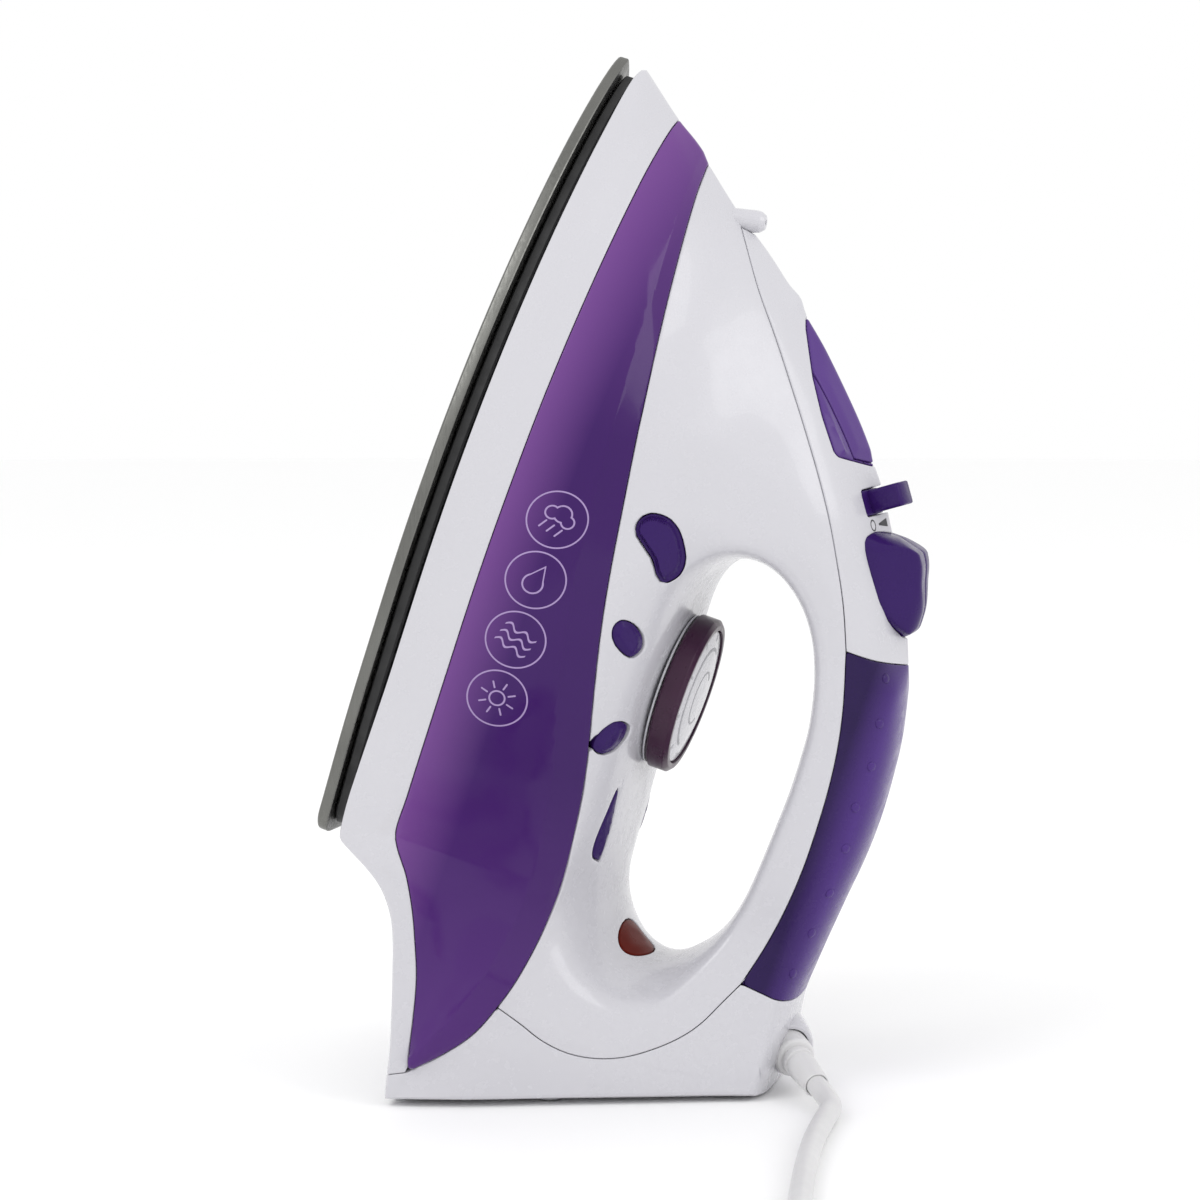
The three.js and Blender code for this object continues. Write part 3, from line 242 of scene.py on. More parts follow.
HAND_HOLE = [[88, DIAL_SEAT], [94.5, 71.8], [99.8, 75.8], [102.6, 81], [103, 86], [101.6, 91], [98.3, 96],
             [93.4, 100.7], [86.8, 104.8], [79, 107.9], [72, 109.8], [64, 111.2], [55, 111.7], [46, 111.8],
             [37, 111.4], [28, 110.9], [19.8, 110.3], [13, 109.4], [5.6, 107.4], [-0.6, 104.4], [-6, 100.2],
             [-10.4, 95], [-12.2, 89.6], [-11.4, 84.4], [-8.4, 80.2], [-3.4, 76.8], [4, 74.2], [12.4, 72.6],
             [22, 71.4], [32, 70.5], *[[f, DIAL_SEAT] for f in (41, 54, 66, 77)]]
HOLE_CENTRE = np.array([46, 91])

# Joint lines between the covers.
SKIRT_LINE = [*[[f, SKIRT_TOP] for f in (240, 150, 80, 40, 18, 7)], [3, 24.2], [-2, 27.9], [-10.4, 32.2],
              [-20, 35.9], [-29, 39], [-40, 41.5], [-48.5, 43.1], [-54, 44.5]]
TANK_LINE = [[240, 26], [203, 33.5], [195, 35], [178, 38.2], [163, 41], [134, 46.3], [110, 50.1], [78, 55.2],
             [46, 61], [35, 62.8], [23, 64.3], [10.5, 65.3], [-2, 65.3], [-14.3, 64.5], [-22.5, 63.3],
             [-29.6, 61.3], [-38.5, 57.7], [-46.5, 51.7], [-54, 44.5]]
HEEL_LINE = [[-29.6, 61.3], [-32.2, 68.4], [-34.9, 75], [-36.2, 82], [-35.6, 89], [-33.2, 96], [-29.2, 102.3],
             [-24.3, 107.9], [-19.5, 111.6], [-12, 115.2], [-6.4, 117.9]]
GRIP_LINE = [[-6.4, 117.9], [5.4, 120.6], [16.8, 122.4], [28.4, 123.3], [41.7, 123.3], [52.6, 122.8],
             [63.2, 121.6], [73.5, 119.6], [88.6, 115.4]]
COVER_LINE = [[88.6, 115.4], [100.6, 110.7], [112.3, 105], [121.3, 100], [130.8, 93.7], [140.8, 86.2],
              [151.5, 77.7], [162.3, 69], [172.2, 60.6], [182.4, 52.6], [190.6, 46], [196, 41.6]]


skirt_line, tank_line, heel_line, grip_line, cover_line = (
    smooth_line(line, 2.0).tolist() for line in (SKIRT_LINE, TANK_LINE, HEEL_LINE, GRIP_LINE, COVER_LINE))
meeting = int(np.argmin([math.dist(q, heel_line[0]) for q in tank_line]))
ZONES = {
    "skirt": [[-60, -5], [240, -5]] + skirt_line + [[-57.5, 37.6], [-62, 28]],
    "tank": tank_line + skirt_line[-2::-1],
    "housing": heel_line + grip_line[1:] + cover_line[1:] + [[240, 41.6]] + tank_line[:meeting],
    "cover": cover_line + [[240, 41.6], [240, 150], [88.6, 150]],
    "grip": grip_line + [[88.6, 150], [-9.6, 150]],
    "heel": [[-54, 44.5]] + tank_line[meeting + 1:-1][::-1] + heel_line
            + [[-9.6, 150], [-100, 150], [-100, 20], [-62, 28], [-57.5, 37.6]],
}


def nose_share(behind, reach):
    left = np.clip(1 - behind / reach, 0, 1)
    return np.where(behind <= 0, 0, (1 - left * left) ** NOSE_POWER)


TANK_TOP = table_curve(sorted(TANK_LINE))
SKIRT_EDGE = table_curve(sorted(SKIRT_LINE))
RIDGE_BAND = table_curve([[-54, 3], [-44, 6], [-30, 8], [0, 8], [60, 9], [100, 8.5], [130, 6.5], [165, 4],
                          [200, 2.5]])
RIDGE_RISE = 2.2


def below_tank_top(points):
    """Distance of points of the tank from its upper joint line, square to the line."""
    f, h = points[:, 0], points[:, 2]
    slope = (TANK_TOP(f + 1) - TANK_TOP(f - 1)) / 2
    return (TANK_TOP(f) - h) / np.sqrt(1 + slope ** 2)


def ridge_side(points):
    """Positive below the tank's ridge, negative in the slanted band above it."""
    return below_tank_top(points) - RIDGE_BAND(points[:, 0])


def tank_ridge(points, _depth=None):
    """Swell of the tank's wall: a slanted band beside the housing, then a fuller face down to the skirt."""
    band = RIDGE_BAND(points[:, 0])
    full = RIDGE_RISE * band / 8
    rise = np.clip(below_tank_top(points) / band, 0, 1)
    above = points[:, 2] - SKIRT_EDGE(points[:, 0])
    room = np.maximum(1, TANK_TOP(points[:, 0]) - band - SKIRT_EDGE(points[:, 0]))
    return full * np.minimum(rise, smooth_step(above / room))


def wall_width(f, h):
    """Half of the body's width before its nose narrows."""
    column = smooth_step((f - 80) / 35) + smooth_step((15 - f) / 30)
    heel = smooth_step((8 - f) / 50)
    width = SHOULDER_WIDTH(h) * (1 - column) + COLUMN_WIDTH(h) * column
    return width * (1 - heel) + HEEL_WIDTH(h) * heel


def width_along(line):
    """Half of the body's width along a joint line, as one smooth function of the forward distance."""
    stations = np.array([-60.0, -45, -25, 0, 30, 60, 90, 120, 150, 180, 210, 240])
    return table_curve(np.column_stack([stations, wall_width(stations, line(stations))]))


TANK_TOP_WIDTH, TANK_FOOT_WIDTH = width_along(TANK_TOP), width_along(SKIRT_EDGE)
TANK_BULGE = 1.2
BLEND_HEIGHT = 14  # over which the wall beside the tank joins the tank's sweep


def half_width(f, h):
    """Half of the body's width beside each point of the side view. The tank's wall is one plain sweep
    between its two joint lines."""
    foot, top = SKIRT_EDGE(f), TANK_TOP(f)
    share = np.clip((h - foot) / np.maximum(1, top - foot), 0, 1)
    tank = TANK_FOOT_WIDTH(f) * (1 - share) + TANK_TOP_WIDTH(f) * share + 4 * TANK_BULGE * share * (1 - share)
    away = np.maximum(np.maximum(foot - h, h - top), 0)
    blend = smooth_step(1 - away / BLEND_HEIGHT)
    width = wall_width(f, h)
    edge = np.where(h > top, TANK_TOP_WIDTH(f) - wall_width(f, top), TANK_FOOT_WIDTH(f) - wall_width(f, foot))
    width = np.where(away > 0, width + edge * blend, tank)
    nose = nose_share(FRONT_SLOPE(h) - f, NOSE_REACH_AT(h))
    crown = smooth_step((h - 124) / 8) * smooth_step((92 - f) / 12)
    return width * (nose * (1 - crown) + crown)


def edge_radius(f, h):
    """Radius of the body's outer edge: small round the skirt and heel, full on the handle."""
    handle = 7 + 3 * smooth_step((h - 118) / 14)
    skirt = 0.8 + 6.2 * smooth_step((h - 12) / 26)
    front = np.where(h < 38, skirt, handle)
    share = smooth_step((f + 30) / 45)
    return 3 * (1 - share) + front * share


def edge_share(depth, radius, power):
    left = np.clip(1 - depth / radius, 0, 1)
    return (1 - left ** power) ** (1 / power)


OUTER_POWER = 2.4
RIDGE_RADIUS = 2.0  # of the rounded front slope
HOLE_EDGE, HOLE_CORNER_EDGE = 5, 12  # radii of the hand hole's edge, all round and in its rear lower corner


def hole_corner(f, h):
    """One in the rear lower corner of the hand hole, where its edge is widely rounded, else nought."""
    return smooth_step((26 - f) / 26) * smooth_step((112 - h) / 16)


def hole_radius(corner):
    return HOLE_EDGE + (HOLE_CORNER_EDGE - HOLE_EDGE) * corner


def hole_share(depth, f, h):
    corner = hole_corner(f, h)
    radius = hole_radius(corner)
    return edge_share(depth, radius, 3.0) * (1 - corner) + edge_share(depth, radius, 2.0) * corner


def body_width(f, h, outer, inner):
    """Half of the body's width at points of the side view, from their depths inside its two edges."""
    width = half_width(f, h) * edge_share(outer, edge_radius(f, h), OUTER_POWER) * hole_share(inner, f, h)
    rounded = 2 * RIDGE_RADIUS * np.minimum(outer, inner)
    slope = smooth_step((f - 100) / 30)
    return np.sqrt(width ** 2 + rounded * slope)


RIM_SPACING, HOLE_SPACING = 1.3, 0.25
RIM_CORNER = 2.5  # radius of the outline's sharpest corners
EDGE_STEPS, FACE_STEPS = 13, 44


def crossing_angle(ray, line):
    """Sine of the angle between each ray and the closed line that it meets."""
    tangent = np.roll(line, -1, axis=0) - np.roll(line, 1, axis=0)
    tangent /= np.linalg.norm(tangent, axis=1)[:, None]
    return np.maximum(0.35, np.abs(ray[:, 0] * tangent[:, 1] - ray[:, 1] * tangent[:, 0]))


def make_body():
    """Grid of the whole body: loops round the hand hole, each from the hole's edge to the rim."""
    rim = smooth_line(soften(BODY_OUTLINE, RIM_CORNER, closed=True, count=6, flat=140), RIM_SPACING,
                      closed=True)
    hole = smooth_line(HAND_HOLE, HOLE_SPACING, closed=True)
    angle = np.arctan2(hole[:, 1] - HOLE_CENTRE[1], hole[:, 0] - HOLE_CENTRE[0])
    order = np.argsort(angle)
    reach = np.linalg.norm(hole - HOLE_CENTRE, axis=1)[order]
    ray = rim - HOLE_CENTRE
    ray /= np.linalg.norm(ray, axis=1)[:, None]
    start = np.interp(np.arctan2(ray[:, 1], ray[:, 0]), angle[order], reach, period=2 * math.pi)
    start = HOLE_CENTRE + ray * start[:, None]
    at_rim, at_hole = crossing_angle(ray, rim), crossing_angle(ray, start)
    share = np.sin(np.linspace(0, math.pi / 2, EDGE_STEPS + 1))

    def edge(radius, power):
        return radius * (1 - (1 - share ** power) ** (1 / power))

    total = np.linalg.norm(rim - start, axis=1)
    radius = edge_radius(rim[:, 0], rim[:, 1])
    corner = hole_corner(start[:, 0], start[:, 1])
    rows = []
    for i in range(len(rim)):
        far = edge(radius[i], OUTER_POWER) / at_rim[i]
        near = edge(hole_radius(corner[i]), 3.0 - corner[i]) / at_hole[i]
        middle = np.linspace(near[-1], total[i] - far[-1], FACE_STEPS + 2)[1:-1]
        rows.append(np.concatenate([near, middle, (total[i] - far)[::-1]]))
    reach = np.array(rows)
    flat = start[:, None, :] + reach[:, :, None] * ray[:, None, :]
    points = flat.reshape(-1, 2)

    def depth_from(line, estimate):
        """Distance from an edge, taken along the ray close to the edge, where that is exact."""
        distance = outline_distance(points, line, closed=False).reshape(estimate.shape)
        share = smooth_step(estimate / 1.5)
        return (estimate * (1 - share) + distance * share).ravel()

    outer = depth_from(rim, (total[:, None] - reach) * at_rim[:, None])
    inner = depth_from(hole, reach * at_hole[:, None])
    y = body_width(points[:, 0], points[:, 1], outer, inner).reshape(reach.shape)
    y[:, 0] = y[:, -1] = 0
    near = np.stack([flat[..., 0], -y, flat[..., 1]], axis=-1)
    far = np.stack([flat[..., 0], y, flat[..., 1]], axis=-1)[:, -2:0:-1]
    grid = np.concatenate([near, far], axis=1)
    n, m = grid.shape[:2]
    index = np.arange(n * m).reshape(n, m)
    a, b = index, np.roll(index, -1, axis=1)
    c, d = np.roll(b, -1, axis=0), np.roll(a, -1, axis=0)
    faces = np.concatenate([np.stack([a, b, c], -1).reshape(-1, 3), np.stack([a, c, d], -1).reshape(-1, 3)])
    return grid.reshape(-1, 3), faces


def vertex_normals(points, faces):
    a, b, c = points[faces[:, 0]], points[faces[:, 1]], points[faces[:, 2]]
    face = np.cross(b - a, c - a)
    total = np.zeros_like(points)
    for k in range(3):
        np.add.at(total, faces[:, k], face)
    return total / np.maximum(1e-12, np.linalg.norm(total, axis=1))[:, None]


body_points, body_faces = make_body()
corner_a, corner_b, corner_c = (body_points[body_faces[:, k]] for k in range(3))
if np.sum(np.cross(corner_b - corner_a, corner_c - corner_a) * (corner_a - body_points.mean(0))) < 0:
    body_faces = body_faces[:, ::-1]
body_normals = vertex_normals(body_points, body_faces)


# ---------- cutting covers out of the body ----------
def split(rows, faces, column, level):
    """Splits every triangle that a level of one column crosses. Rows hold all the values of a point."""
    value = rows[:, column] - level
    value[np.abs(value) < 1e-4] = 0
    crossing = (value[faces] > 0).any(1) & (value[faces] < 0).any(1)
    keep = faces[~crossing]
    cut = faces[crossing]
    if not len(cut):
        return rows, faces
    up = (value[cut] > 0).sum(1)
    flags = np.where((up == 1)[:, None], value[cut] > 0, value[cut] < 0)
    # Each triangle is turned so that the corner that is alone on its side of the level leads.
    lone = np.argmax(flags, axis=1)
    cut = np.stack([cut[np.arange(len(cut)), (lone + k) % 3] for k in range(3)], 1)
    a, b, c = cut.T

    def middle(p, q):
        low, high = np.minimum(p, q), np.maximum(p, q)
        return low.astype(np.int64) * len(rows) + high

    keys = np.concatenate([middle(a, b), middle(a, c)])
    unique, inverse = np.unique(keys, return_inverse=True)
    low, high = unique // len(rows), unique % len(rows)
    t = value[low] / (value[low] - value[high] + 1e-30)
    t = np.clip(t, 0, 1)[:, None]
    new = rows[low] * (1 - t) + rows[high] * t
    new[:, column] = level
    p = len(rows) + inverse[: len(cut)]
    q = len(rows) + inverse[len(cut):]
    pieces = [np.stack([a, p, q], 1), np.stack([p, b, c], 1), np.stack([p, c, q], 1)]
    return np.vstack([rows, new]), np.vstack([keep] + pieces)


def compact(rows, faces):
    used, inverse = np.unique(faces, return_inverse=True)
    return rows[used], inverse.reshape(-1, 3)


def divide(rows, faces, times):
    """Divides every triangle into four, a number of times."""
    for _ in range(times):
        edges = np.sort(np.concatenate([faces[:, [0, 1]], faces[:, [1, 2]], faces[:, [2, 0]]]), axis=1)
        unique, inverse = np.unique(edges, axis=0, return_inverse=True)
        inverse = inverse.reshape(-1) + len(rows)
        rows = np.vstack([rows, (rows[unique[:, 0]] + rows[unique[:, 1]]) / 2])
        a, b, c = faces.T
        ab, bc, ca = inverse.reshape(3, -1)
        faces = np.vstack([np.stack(q, 1) for q in ((a, ab, ca), (ab, b, bc), (ca, bc, c), (ab, bc, ca))])
    return rows, faces


EDGE_ROUND = 0.34
EDGE_ROWS = (0.12, 0.35, 0.65, 1.0)  # shares of the rounded edge that get a row of points


def cut_shell(field, edge=EDGE_ROUND, wall=WALL, lift=None, creases=(), fine=0, reach=6, way=None):
    """Closed shell of the body's skin where field(points) is positive, with rounded edges.
    lift(points, depth) raises the surface, depth being the distance from the shell's edge.
    way(points, normals) gives the direction of the shell's walls where it isn't the surface's own.
    Each crease is a function whose zero line gets its own row of points."""
    depth = field(body_points)
    near = (depth[body_faces] > -reach).any(1)
    rows, faces = compact(np.column_stack([body_points, body_normals]), body_faces[near])
    rows, faces = divide(rows, faces, fine)
    rows = np.column_stack([rows, field(rows[:, :3])] + [crease(rows[:, :3]) for crease in creases])
    rows, faces = split(rows, faces, 6, 0.0)
    faces = faces[(rows[faces, 6] >= -1e-6).all(1)]
    for share in EDGE_ROWS:
        rows, faces = split(rows, faces, 6, edge * share)
    for k in range(len(creases)):
        rows, faces = split(rows, faces, 7 + k, 0.0)
    rows, faces = compact(rows, faces)
    a, b, c = (rows[faces[:, k], :3] for k in range(3))
    faces = faces[np.linalg.norm(np.cross(b - a, c - a), axis=1) > 1e-9]
    points, normals, depth = rows[:, :3], rows[:, 3:6], rows[:, 6]
    normals = normals / np.linalg.norm(normals, axis=1)[:, None]
    if way is not None:
        normals = way(points, normals)
    left = np.clip(1 - depth / edge, 0, 1)
    rise = -edge * (1 - np.sqrt(1 - left * left))
    if lift is not None:
        rise = rise + lift(points, depth)
    outer = points + normals * rise[:, None]
    inner = points - normals * wall
    count = len(points)
    directed = np.concatenate([faces[:, [0, 1]], faces[:, [1, 2]], faces[:, [2, 0]]])
    edges = np.sort(directed, axis=1)
    _, first, counts = np.unique(edges, axis=0, return_index=True, return_counts=True)
    i, j = directed[first[counts == 1]].T
    walls = np.vstack([np.stack([j, i, i + count], 1), np.stack([j, i + count, j + count], 1)])
    return np.vstack([outer, inner]), np.vstack([faces, faces[:, ::-1] + count, walls])


def sideways(points, normals):
    way = np.zeros_like(normals)
    way[:, 1] = np.where(points[:, 1] > 0, 1.0, -1.0)
    return way


def sideways_near(room):
    """Walls that run straight sideways round an opening, so that a button can slide in it."""
    def way(points, normals):
        share = smooth_step((room(points) + 3) / 2)[:, None]
        blend = normals * (1 - share) + sideways(points, normals) * share
        return blend / np.linalg.norm(blend, axis=1)[:, None]
    return way


def zone_field(name, *cuts):
    """Distance inside one zone of the side view, less any cut-outs."""
    outline = np.array(ZONES[name])

    def field(points):
        depth = outline_distance(points[:, [0, 2]], outline) - SEAM
        for cut in cuts:
            depth = np.minimum(depth, cut(points))
        return depth

    return field


def piece(name, solid, material, *nodes, body="iron", sharp=32):
    """One visible piece, from its points and faces. It stands for the named nodes of the row."""
    points, faces = solid
    mesh = bpy.data.meshes.new(name)
    mesh.from_pydata([tuple(p) for p in points], [], [tuple(int(k) for k in f) for f in faces])
    mesh.validate()
    work = bmesh.new()
    work.from_mesh(mesh)
    inside_out = work.calc_volume(signed=True) < 0
    work.free()
    if inside_out:
        mesh.flip_normals()
    mesh.shade_smooth()
    mesh.set_sharp_from_angle(angle=math.radians(sharp))
    thing = bpy.data.objects.new(name, mesh)
    bpy.context.collection.objects.link(thing)
    mesh.materials.append(material)
    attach(thing, body)
    if nodes:
        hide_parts(*nodes)
    return thing


def tipped(solid):
    """A solid of the lying iron, set up in the row."""
    return to_row(solid[0]), solid[1]


def in_metres(profile):
    return [[radius * MM, along * MM] for radius, along in profile]


def outward(points, faces):
    """The solid's faces, turned outwards."""
    p = np.array(points)
    volume = 0.0
    for f in faces:
        for k in range(1, len(f) - 1):
            volume += np.dot(p[f[0]], np.cross(p[f[k]], p[f[k + 1]]))
    return faces if volume > 0 else [list(f)[::-1] for f in faces]


def join(*solids):
    """Several solids as one list of points and one of faces."""
    points, faces = [], []
    for some, more in solids:
        start = len(points)
        points.extend(some)
        faces.extend([[k + start for k in f] for f in outward(some, more)])
    return points, faces


def skin_of_rings(rings, wrap=False):
    """Solid through rings of the same number of points. A ring of one point is a pole."""
    points, faces, starts = [], [], []
    for ring in rings:
        starts.append(len(points))
        points.extend(ring)
    count = max(len(ring) for ring in rings)
    pairs = list(zip(range(len(rings) - 1), range(1, len(rings))))
    if wrap:
        pairs.append((len(rings) - 1, 0))
    for i, j in pairs:
        a, b = starts[i], starts[j]
        for k in range(count):
            n = (k + 1) % count
            if len(rings[i]) == 1:
                faces.append([a, b + n, b + k])
            elif len(rings[j]) == 1:
                faces.append([a + k, a + n, b])
            else:
                faces.append([a + k, a + n, b + n, b + k])
    if not wrap:
        if len(rings[0]) > 1:
            faces.append([starts[0] + k for k in range(count)][::-1])
        if len(rings[-1]) > 1:
            faces.append([starts[-1] + k for k in range(count)])
    return points, faces


def turned(profile, origin, axis, steps=72, wrap=False):
    """Body turned about an axis from a profile of [radius, along]."""
    axis = np.asarray(axis, float) / np.linalg.norm(axis)
    side = np.cross(axis, [0, 1, 0] if abs(axis[1]) < 0.9 else [1, 0, 0])
    side /= np.linalg.norm(side)
    other = np.cross(axis, side)
    rings = []
    for radius, along in profile:
        centre = np.asarray(origin, float) + axis * along
        if radius < 1e-6:
            rings.append([centre])
            continue
        ring = []
        for k in range(steps):
            angle = 2 * math.pi * k / steps
            ring.append(centre + (side * math.cos(angle) + other * math.sin(angle)) * radius)
        rings.append(ring)
    return skin_of_rings(rings, wrap=wrap)


def tube(route, radius, sides=14):
    """Round rod along a route of points."""
    p = np.asarray(route, float)
    way = np.gradient(p, axis=0)
    way /= np.linalg.norm(way, axis=1)[:, None]
    side = np.cross(way[0], [0.0, 0.0, 1.0])
    side /= np.linalg.norm(side)
    rings = []
    for q, w in zip(p, way):
        side = side - w * np.dot(side, w)
        side /= np.linalg.norm(side)
        other = np.cross(w, side)
        angles = 2 * math.pi * np.arange(sides) / sides
        rings.append([q + radius * (side * math.cos(t) + other * math.sin(t)) for t in angles])
    return skin_of_rings(rings)


def inset_loop(loop, distance):
    """Closed outline moved inwards, for a small distance and a dense, smooth outline."""
    p = np.asarray(loop, float)
    way = np.roll(p, -1, axis=0) - np.roll(p, 1, axis=0)
    way /= np.linalg.norm(way, axis=1)[:, None]
    area = np.sum(p[:, 0] * np.roll(p[:, 1], -1) - np.roll(p[:, 0], -1) * p[:, 1])
    inward = np.column_stack([-way[:, 1], way[:, 0]]) * (1 if area > 0 else -1)
    return p + inward * distance


# ---------- materials ----------
def new_material(name, color, roughness, metallic=0.0, coat=0.0, coat_roughness=0.05, specular=0.5):
    material = bpy.data.materials.new(name)
    material.use_nodes = True
    shader = material.node_tree.nodes["Principled BSDF"]
    values = {"Base Color": (*color, 1), "Roughness": roughness, "Metallic": metallic, "Coat Weight": coat,
              "Coat Roughness": coat_roughness, "Specular IOR Level": specular}
    for key, value in values.items():
        shader.inputs[key].default_value = value
    return material, shader


def add_node(material, kind, inputs, **settings):
    """A node of the material. Each of its inputs gets a value, or the socket that feeds it."""
    node = material.node_tree.nodes.new("ShaderNode" + kind)
    for key, value in settings.items():
        setattr(node, key, value)
    for key, value in inputs.items():
        if isinstance(value, bpy.types.NodeSocket):
            material.node_tree.links.new(value, node.inputs[key])
        else:
            node.inputs[key].default_value = value
    return node


def noise(material, scale, detail=3.0, roughness=0.5, stretch=None):
    """Noise that stays with the piece, in features of about 1/scale metres."""
    place = add_node(material, "TexCoord", {}).outputs["Object"]
    if stretch is not None:
        place = add_node(material, "Mapping", {"Vector": place, "Scale": stretch}).outputs["Vector"]
    values = {"Vector": place, "Scale": scale, "Detail": detail, "Roughness": roughness}
    return add_node(material, "TexNoise", values).outputs["Fac"]


def spread(material, source, low, high, at=(0.35, 0.65)):
    """Maps a texture to a range of numbers."""
    values = {"Value": source, "From Min": at[0], "From Max": at[1], "To Min": low, "To Max": high}
    return add_node(material, "MapRange", values).outputs["Result"]


def ramp(material, source, stops):
    """Maps a value to colours."""
    node = add_node(material, "ValToRGB", {"Fac": source})
    elements = node.color_ramp.elements
    while len(elements) < len(stops):
        elements.new(0.5)
    for element, (at, color) in zip(elements, stops):
        element.position = at
        element.color = (*color, 1)
    return node.outputs["Color"]


def blend_colors(material, share, *colors):
    """Blends two colours, each given as three numbers or as a socket."""
    first, second = ((*color, 1) if isinstance(color, tuple) else color for color in colors)
    values = {"Factor": share, "A": first, "B": second}
    return add_node(material, "Mix", values, data_type="RGBA").outputs["Result"]


def roughen(material, shader, source, strength, distance):
    values = {"Strength": strength, "Distance": distance, "Height": source}
    normal = add_node(material, "Bump", values).outputs["Normal"]
    material.node_tree.links.new(normal, shader.inputs["Normal"])


def shade(color, factor):
    return tuple(min(1.0, c * factor) for c in color)


def plastic(name, color, roughness, tone=0.06, grain=900, relief=0.12, depth=0.00004, coat=0.0, specular=0.5,
            wear=0.25):
    """Moulded plastic: slow changes of tone, mould grain, handling marks, edges rubbed a little paler."""
    material, shader = new_material(name, color, roughness, coat=coat, specular=specular)
    links = material.node_tree.links
    cloud = noise(material, 28, 3)
    tinted = ramp(material, cloud, [(0.3, shade(color, 1 - tone)), (0.7, shade(color, 1 + tone))])
    geometry = material.node_tree.nodes.new("ShaderNodeNewGeometry")
    edge = spread(material, geometry.outputs["Pointiness"], 0.0, wear, at=(0.53, 0.62))
    links.new(blend_colors(material, edge, tinted, shade(color, 1.25)), shader.inputs["Base Color"])
    marks = noise(material, 210, 5, 0.62)
    gloss = spread(material, marks, roughness * 0.82, min(1.0, roughness * 1.28))
    links.new(gloss, shader.inputs["Roughness"])
    roughen(material, shader, noise(material, grain, 2), relief, depth)
    return material


def metal(name, color, roughness, brushed=(1, 1, 1), relief=0.1, depth=0.00005, tone=0.12, grain=700):
    """Metal with drawn or ground marks along one direction and slightly uneven polish."""
    material, shader = new_material(name, color, roughness, metallic=1.0)
    links = material.node_tree.links
    streak = noise(material, grain, 4, 0.6, stretch=brushed)
    cloud = noise(material, 45, 4, 0.6)
    tinted = ramp(material, cloud, [(0.3, shade(color, 1 - tone)), (0.7, shade(color, 1 + tone))])
    links.new(tinted, shader.inputs["Base Color"])
    links.new(spread(material, streak, roughness * 0.7, roughness * 1.4), shader.inputs["Roughness"])
    roughen(material, shader, streak, relief, depth)
    return material


def distance_along(material, way):
    """Socket with a point's distance from the sole's rear edge along one direction, in metres."""
    place = add_node(material, "TexCoord", {}).outputs["Object"]
    offset = add_node(material, "VectorMath", {0: place, 1: tuple(SOLE_REAR * MM)}, operation="SUBTRACT")
    values = {0: offset.outputs["Vector"], 1: tuple(way)}
    return add_node(material, "VectorMath", values, operation="DOT_PRODUCT").outputs["Value"]


WHITE = (0.56, 0.555, 0.59)
white_plastic = plastic("white_plastic", WHITE, 0.24, tone=0.006, coat=0.3, relief=0.03, wear=0.0)


def tank_material():
    """Tinted tank: paler where its wall is thin at the foot and the nose, deep between, glossy."""
    material, shader = new_material("tank_plastic", (0.06, 0.02, 0.15), 0.16, coat=0.1, coat_roughness=0.06,
                                    specular=0.2)
    links = material.node_tree.links
    deep, pale, nose = (0.036, 0.005, 0.100), (0.165, 0.058, 0.255), (0.10, 0.030, 0.185)
    height = distance_along(material, UPWARD)
    ahead = distance_along(material, FORWARD)
    foot = spread(material, height, 1.0, 0.0, at=(0.020, 0.037))
    tip = spread(material, ahead, 0.0, 1.0, at=(0.125, 0.205))
    rear = spread(material, ahead, 1.0, 0.0, at=(-0.05, 0.035))
    color = blend_colors(material, tip, deep, nose)
    color = blend_colors(material, rear, color, (0.075, 0.020, 0.16))
    color = blend_colors(material, foot, color, pale)
    cloud = spread(material, noise(material, 16, 3), 0.0, 0.08)
    color = blend_colors(material, cloud, color, (0.08, 0.022, 0.17))
    links.new(color, shader.inputs["Base Color"])
    links.new(spread(material, noise(material, 190, 5, 0.62), 0.08, 0.16), shader.inputs["Roughness"])
    roughen(material, shader, noise(material, 60, 2), 0.05, 0.0002)
    return material


tank_plastic = tank_material()


def grip_material():
    """Grip: soft-touch plastic with painted light: its crown is painted lighter and its sides painted darker,
    as lit from above.
    """
    material, shader = new_material("grip_plastic", (0.05, 0.02, 0.13), 0.34, coat=0.03, specular=0.2)
    links = material.node_tree.links
    height = distance_along(material, UPWARD)
    # Painted light: above this height the colour turns lighter, standing in for the lit top of the grip, and
    # below it darker, standing in for shade on its sides.
    crown = spread(material, height, 0.0, 1.0, at=(0.124, 0.132))
    color = blend_colors(material, crown, (0.016, 0.005, 0.055), (0.066, 0.026, 0.185))
    cloud = spread(material, noise(material, 40, 3), 0.0, 0.12)
    color = blend_colors(material, cloud, color, (0.05, 0.02, 0.14))
    links.new(color, shader.inputs["Base Color"])
    links.new(spread(material, noise(material, 260, 5, 0.6), 0.2, 0.34), shader.inputs["Roughness"])
    roughen(material, shader, noise(material, 2600, 2), 0.25, 0.00004)
    return material


grip_plastic = grip_material()
purple_plastic = plastic("purple_plastic", (0.030, 0.009, 0.098), 0.26, tone=0.08, coat=0.02, specular=0.15,
                         wear=0.05)
filler_plastic = plastic("filler_plastic", (0.085, 0.035, 0.20), 0.2, tone=0.08, specular=0.25, wear=0.05)
plum_plastic = plastic("plum_plastic", (0.034, 0.006, 0.028), 0.3, tone=0.1, coat=0.06, specular=0.3)
lead_plastic = plastic("lead_plastic", (0.66, 0.655, 0.66), 0.42, tone=0.03, relief=0.25, depth=0.0001)
black_plastic = plastic("black_plastic", (0.014, 0.014, 0.015), 0.48, tone=0.2, grain=1500, relief=0.4,
                        depth=0.00008)
natural_plastic = plastic("natural_plastic", (0.6, 0.58, 0.52), 0.45, tone=0.06, relief=0.2)
black_rubber = plastic("black_rubber", (0.018, 0.018, 0.018), 0.7, tone=0.2, grain=1800, relief=0.5,
                       depth=0.0001)
wire_sleeve = plastic("wire_sleeve", (0.22, 0.03, 0.03), 0.45, tone=0.1, relief=0.2)
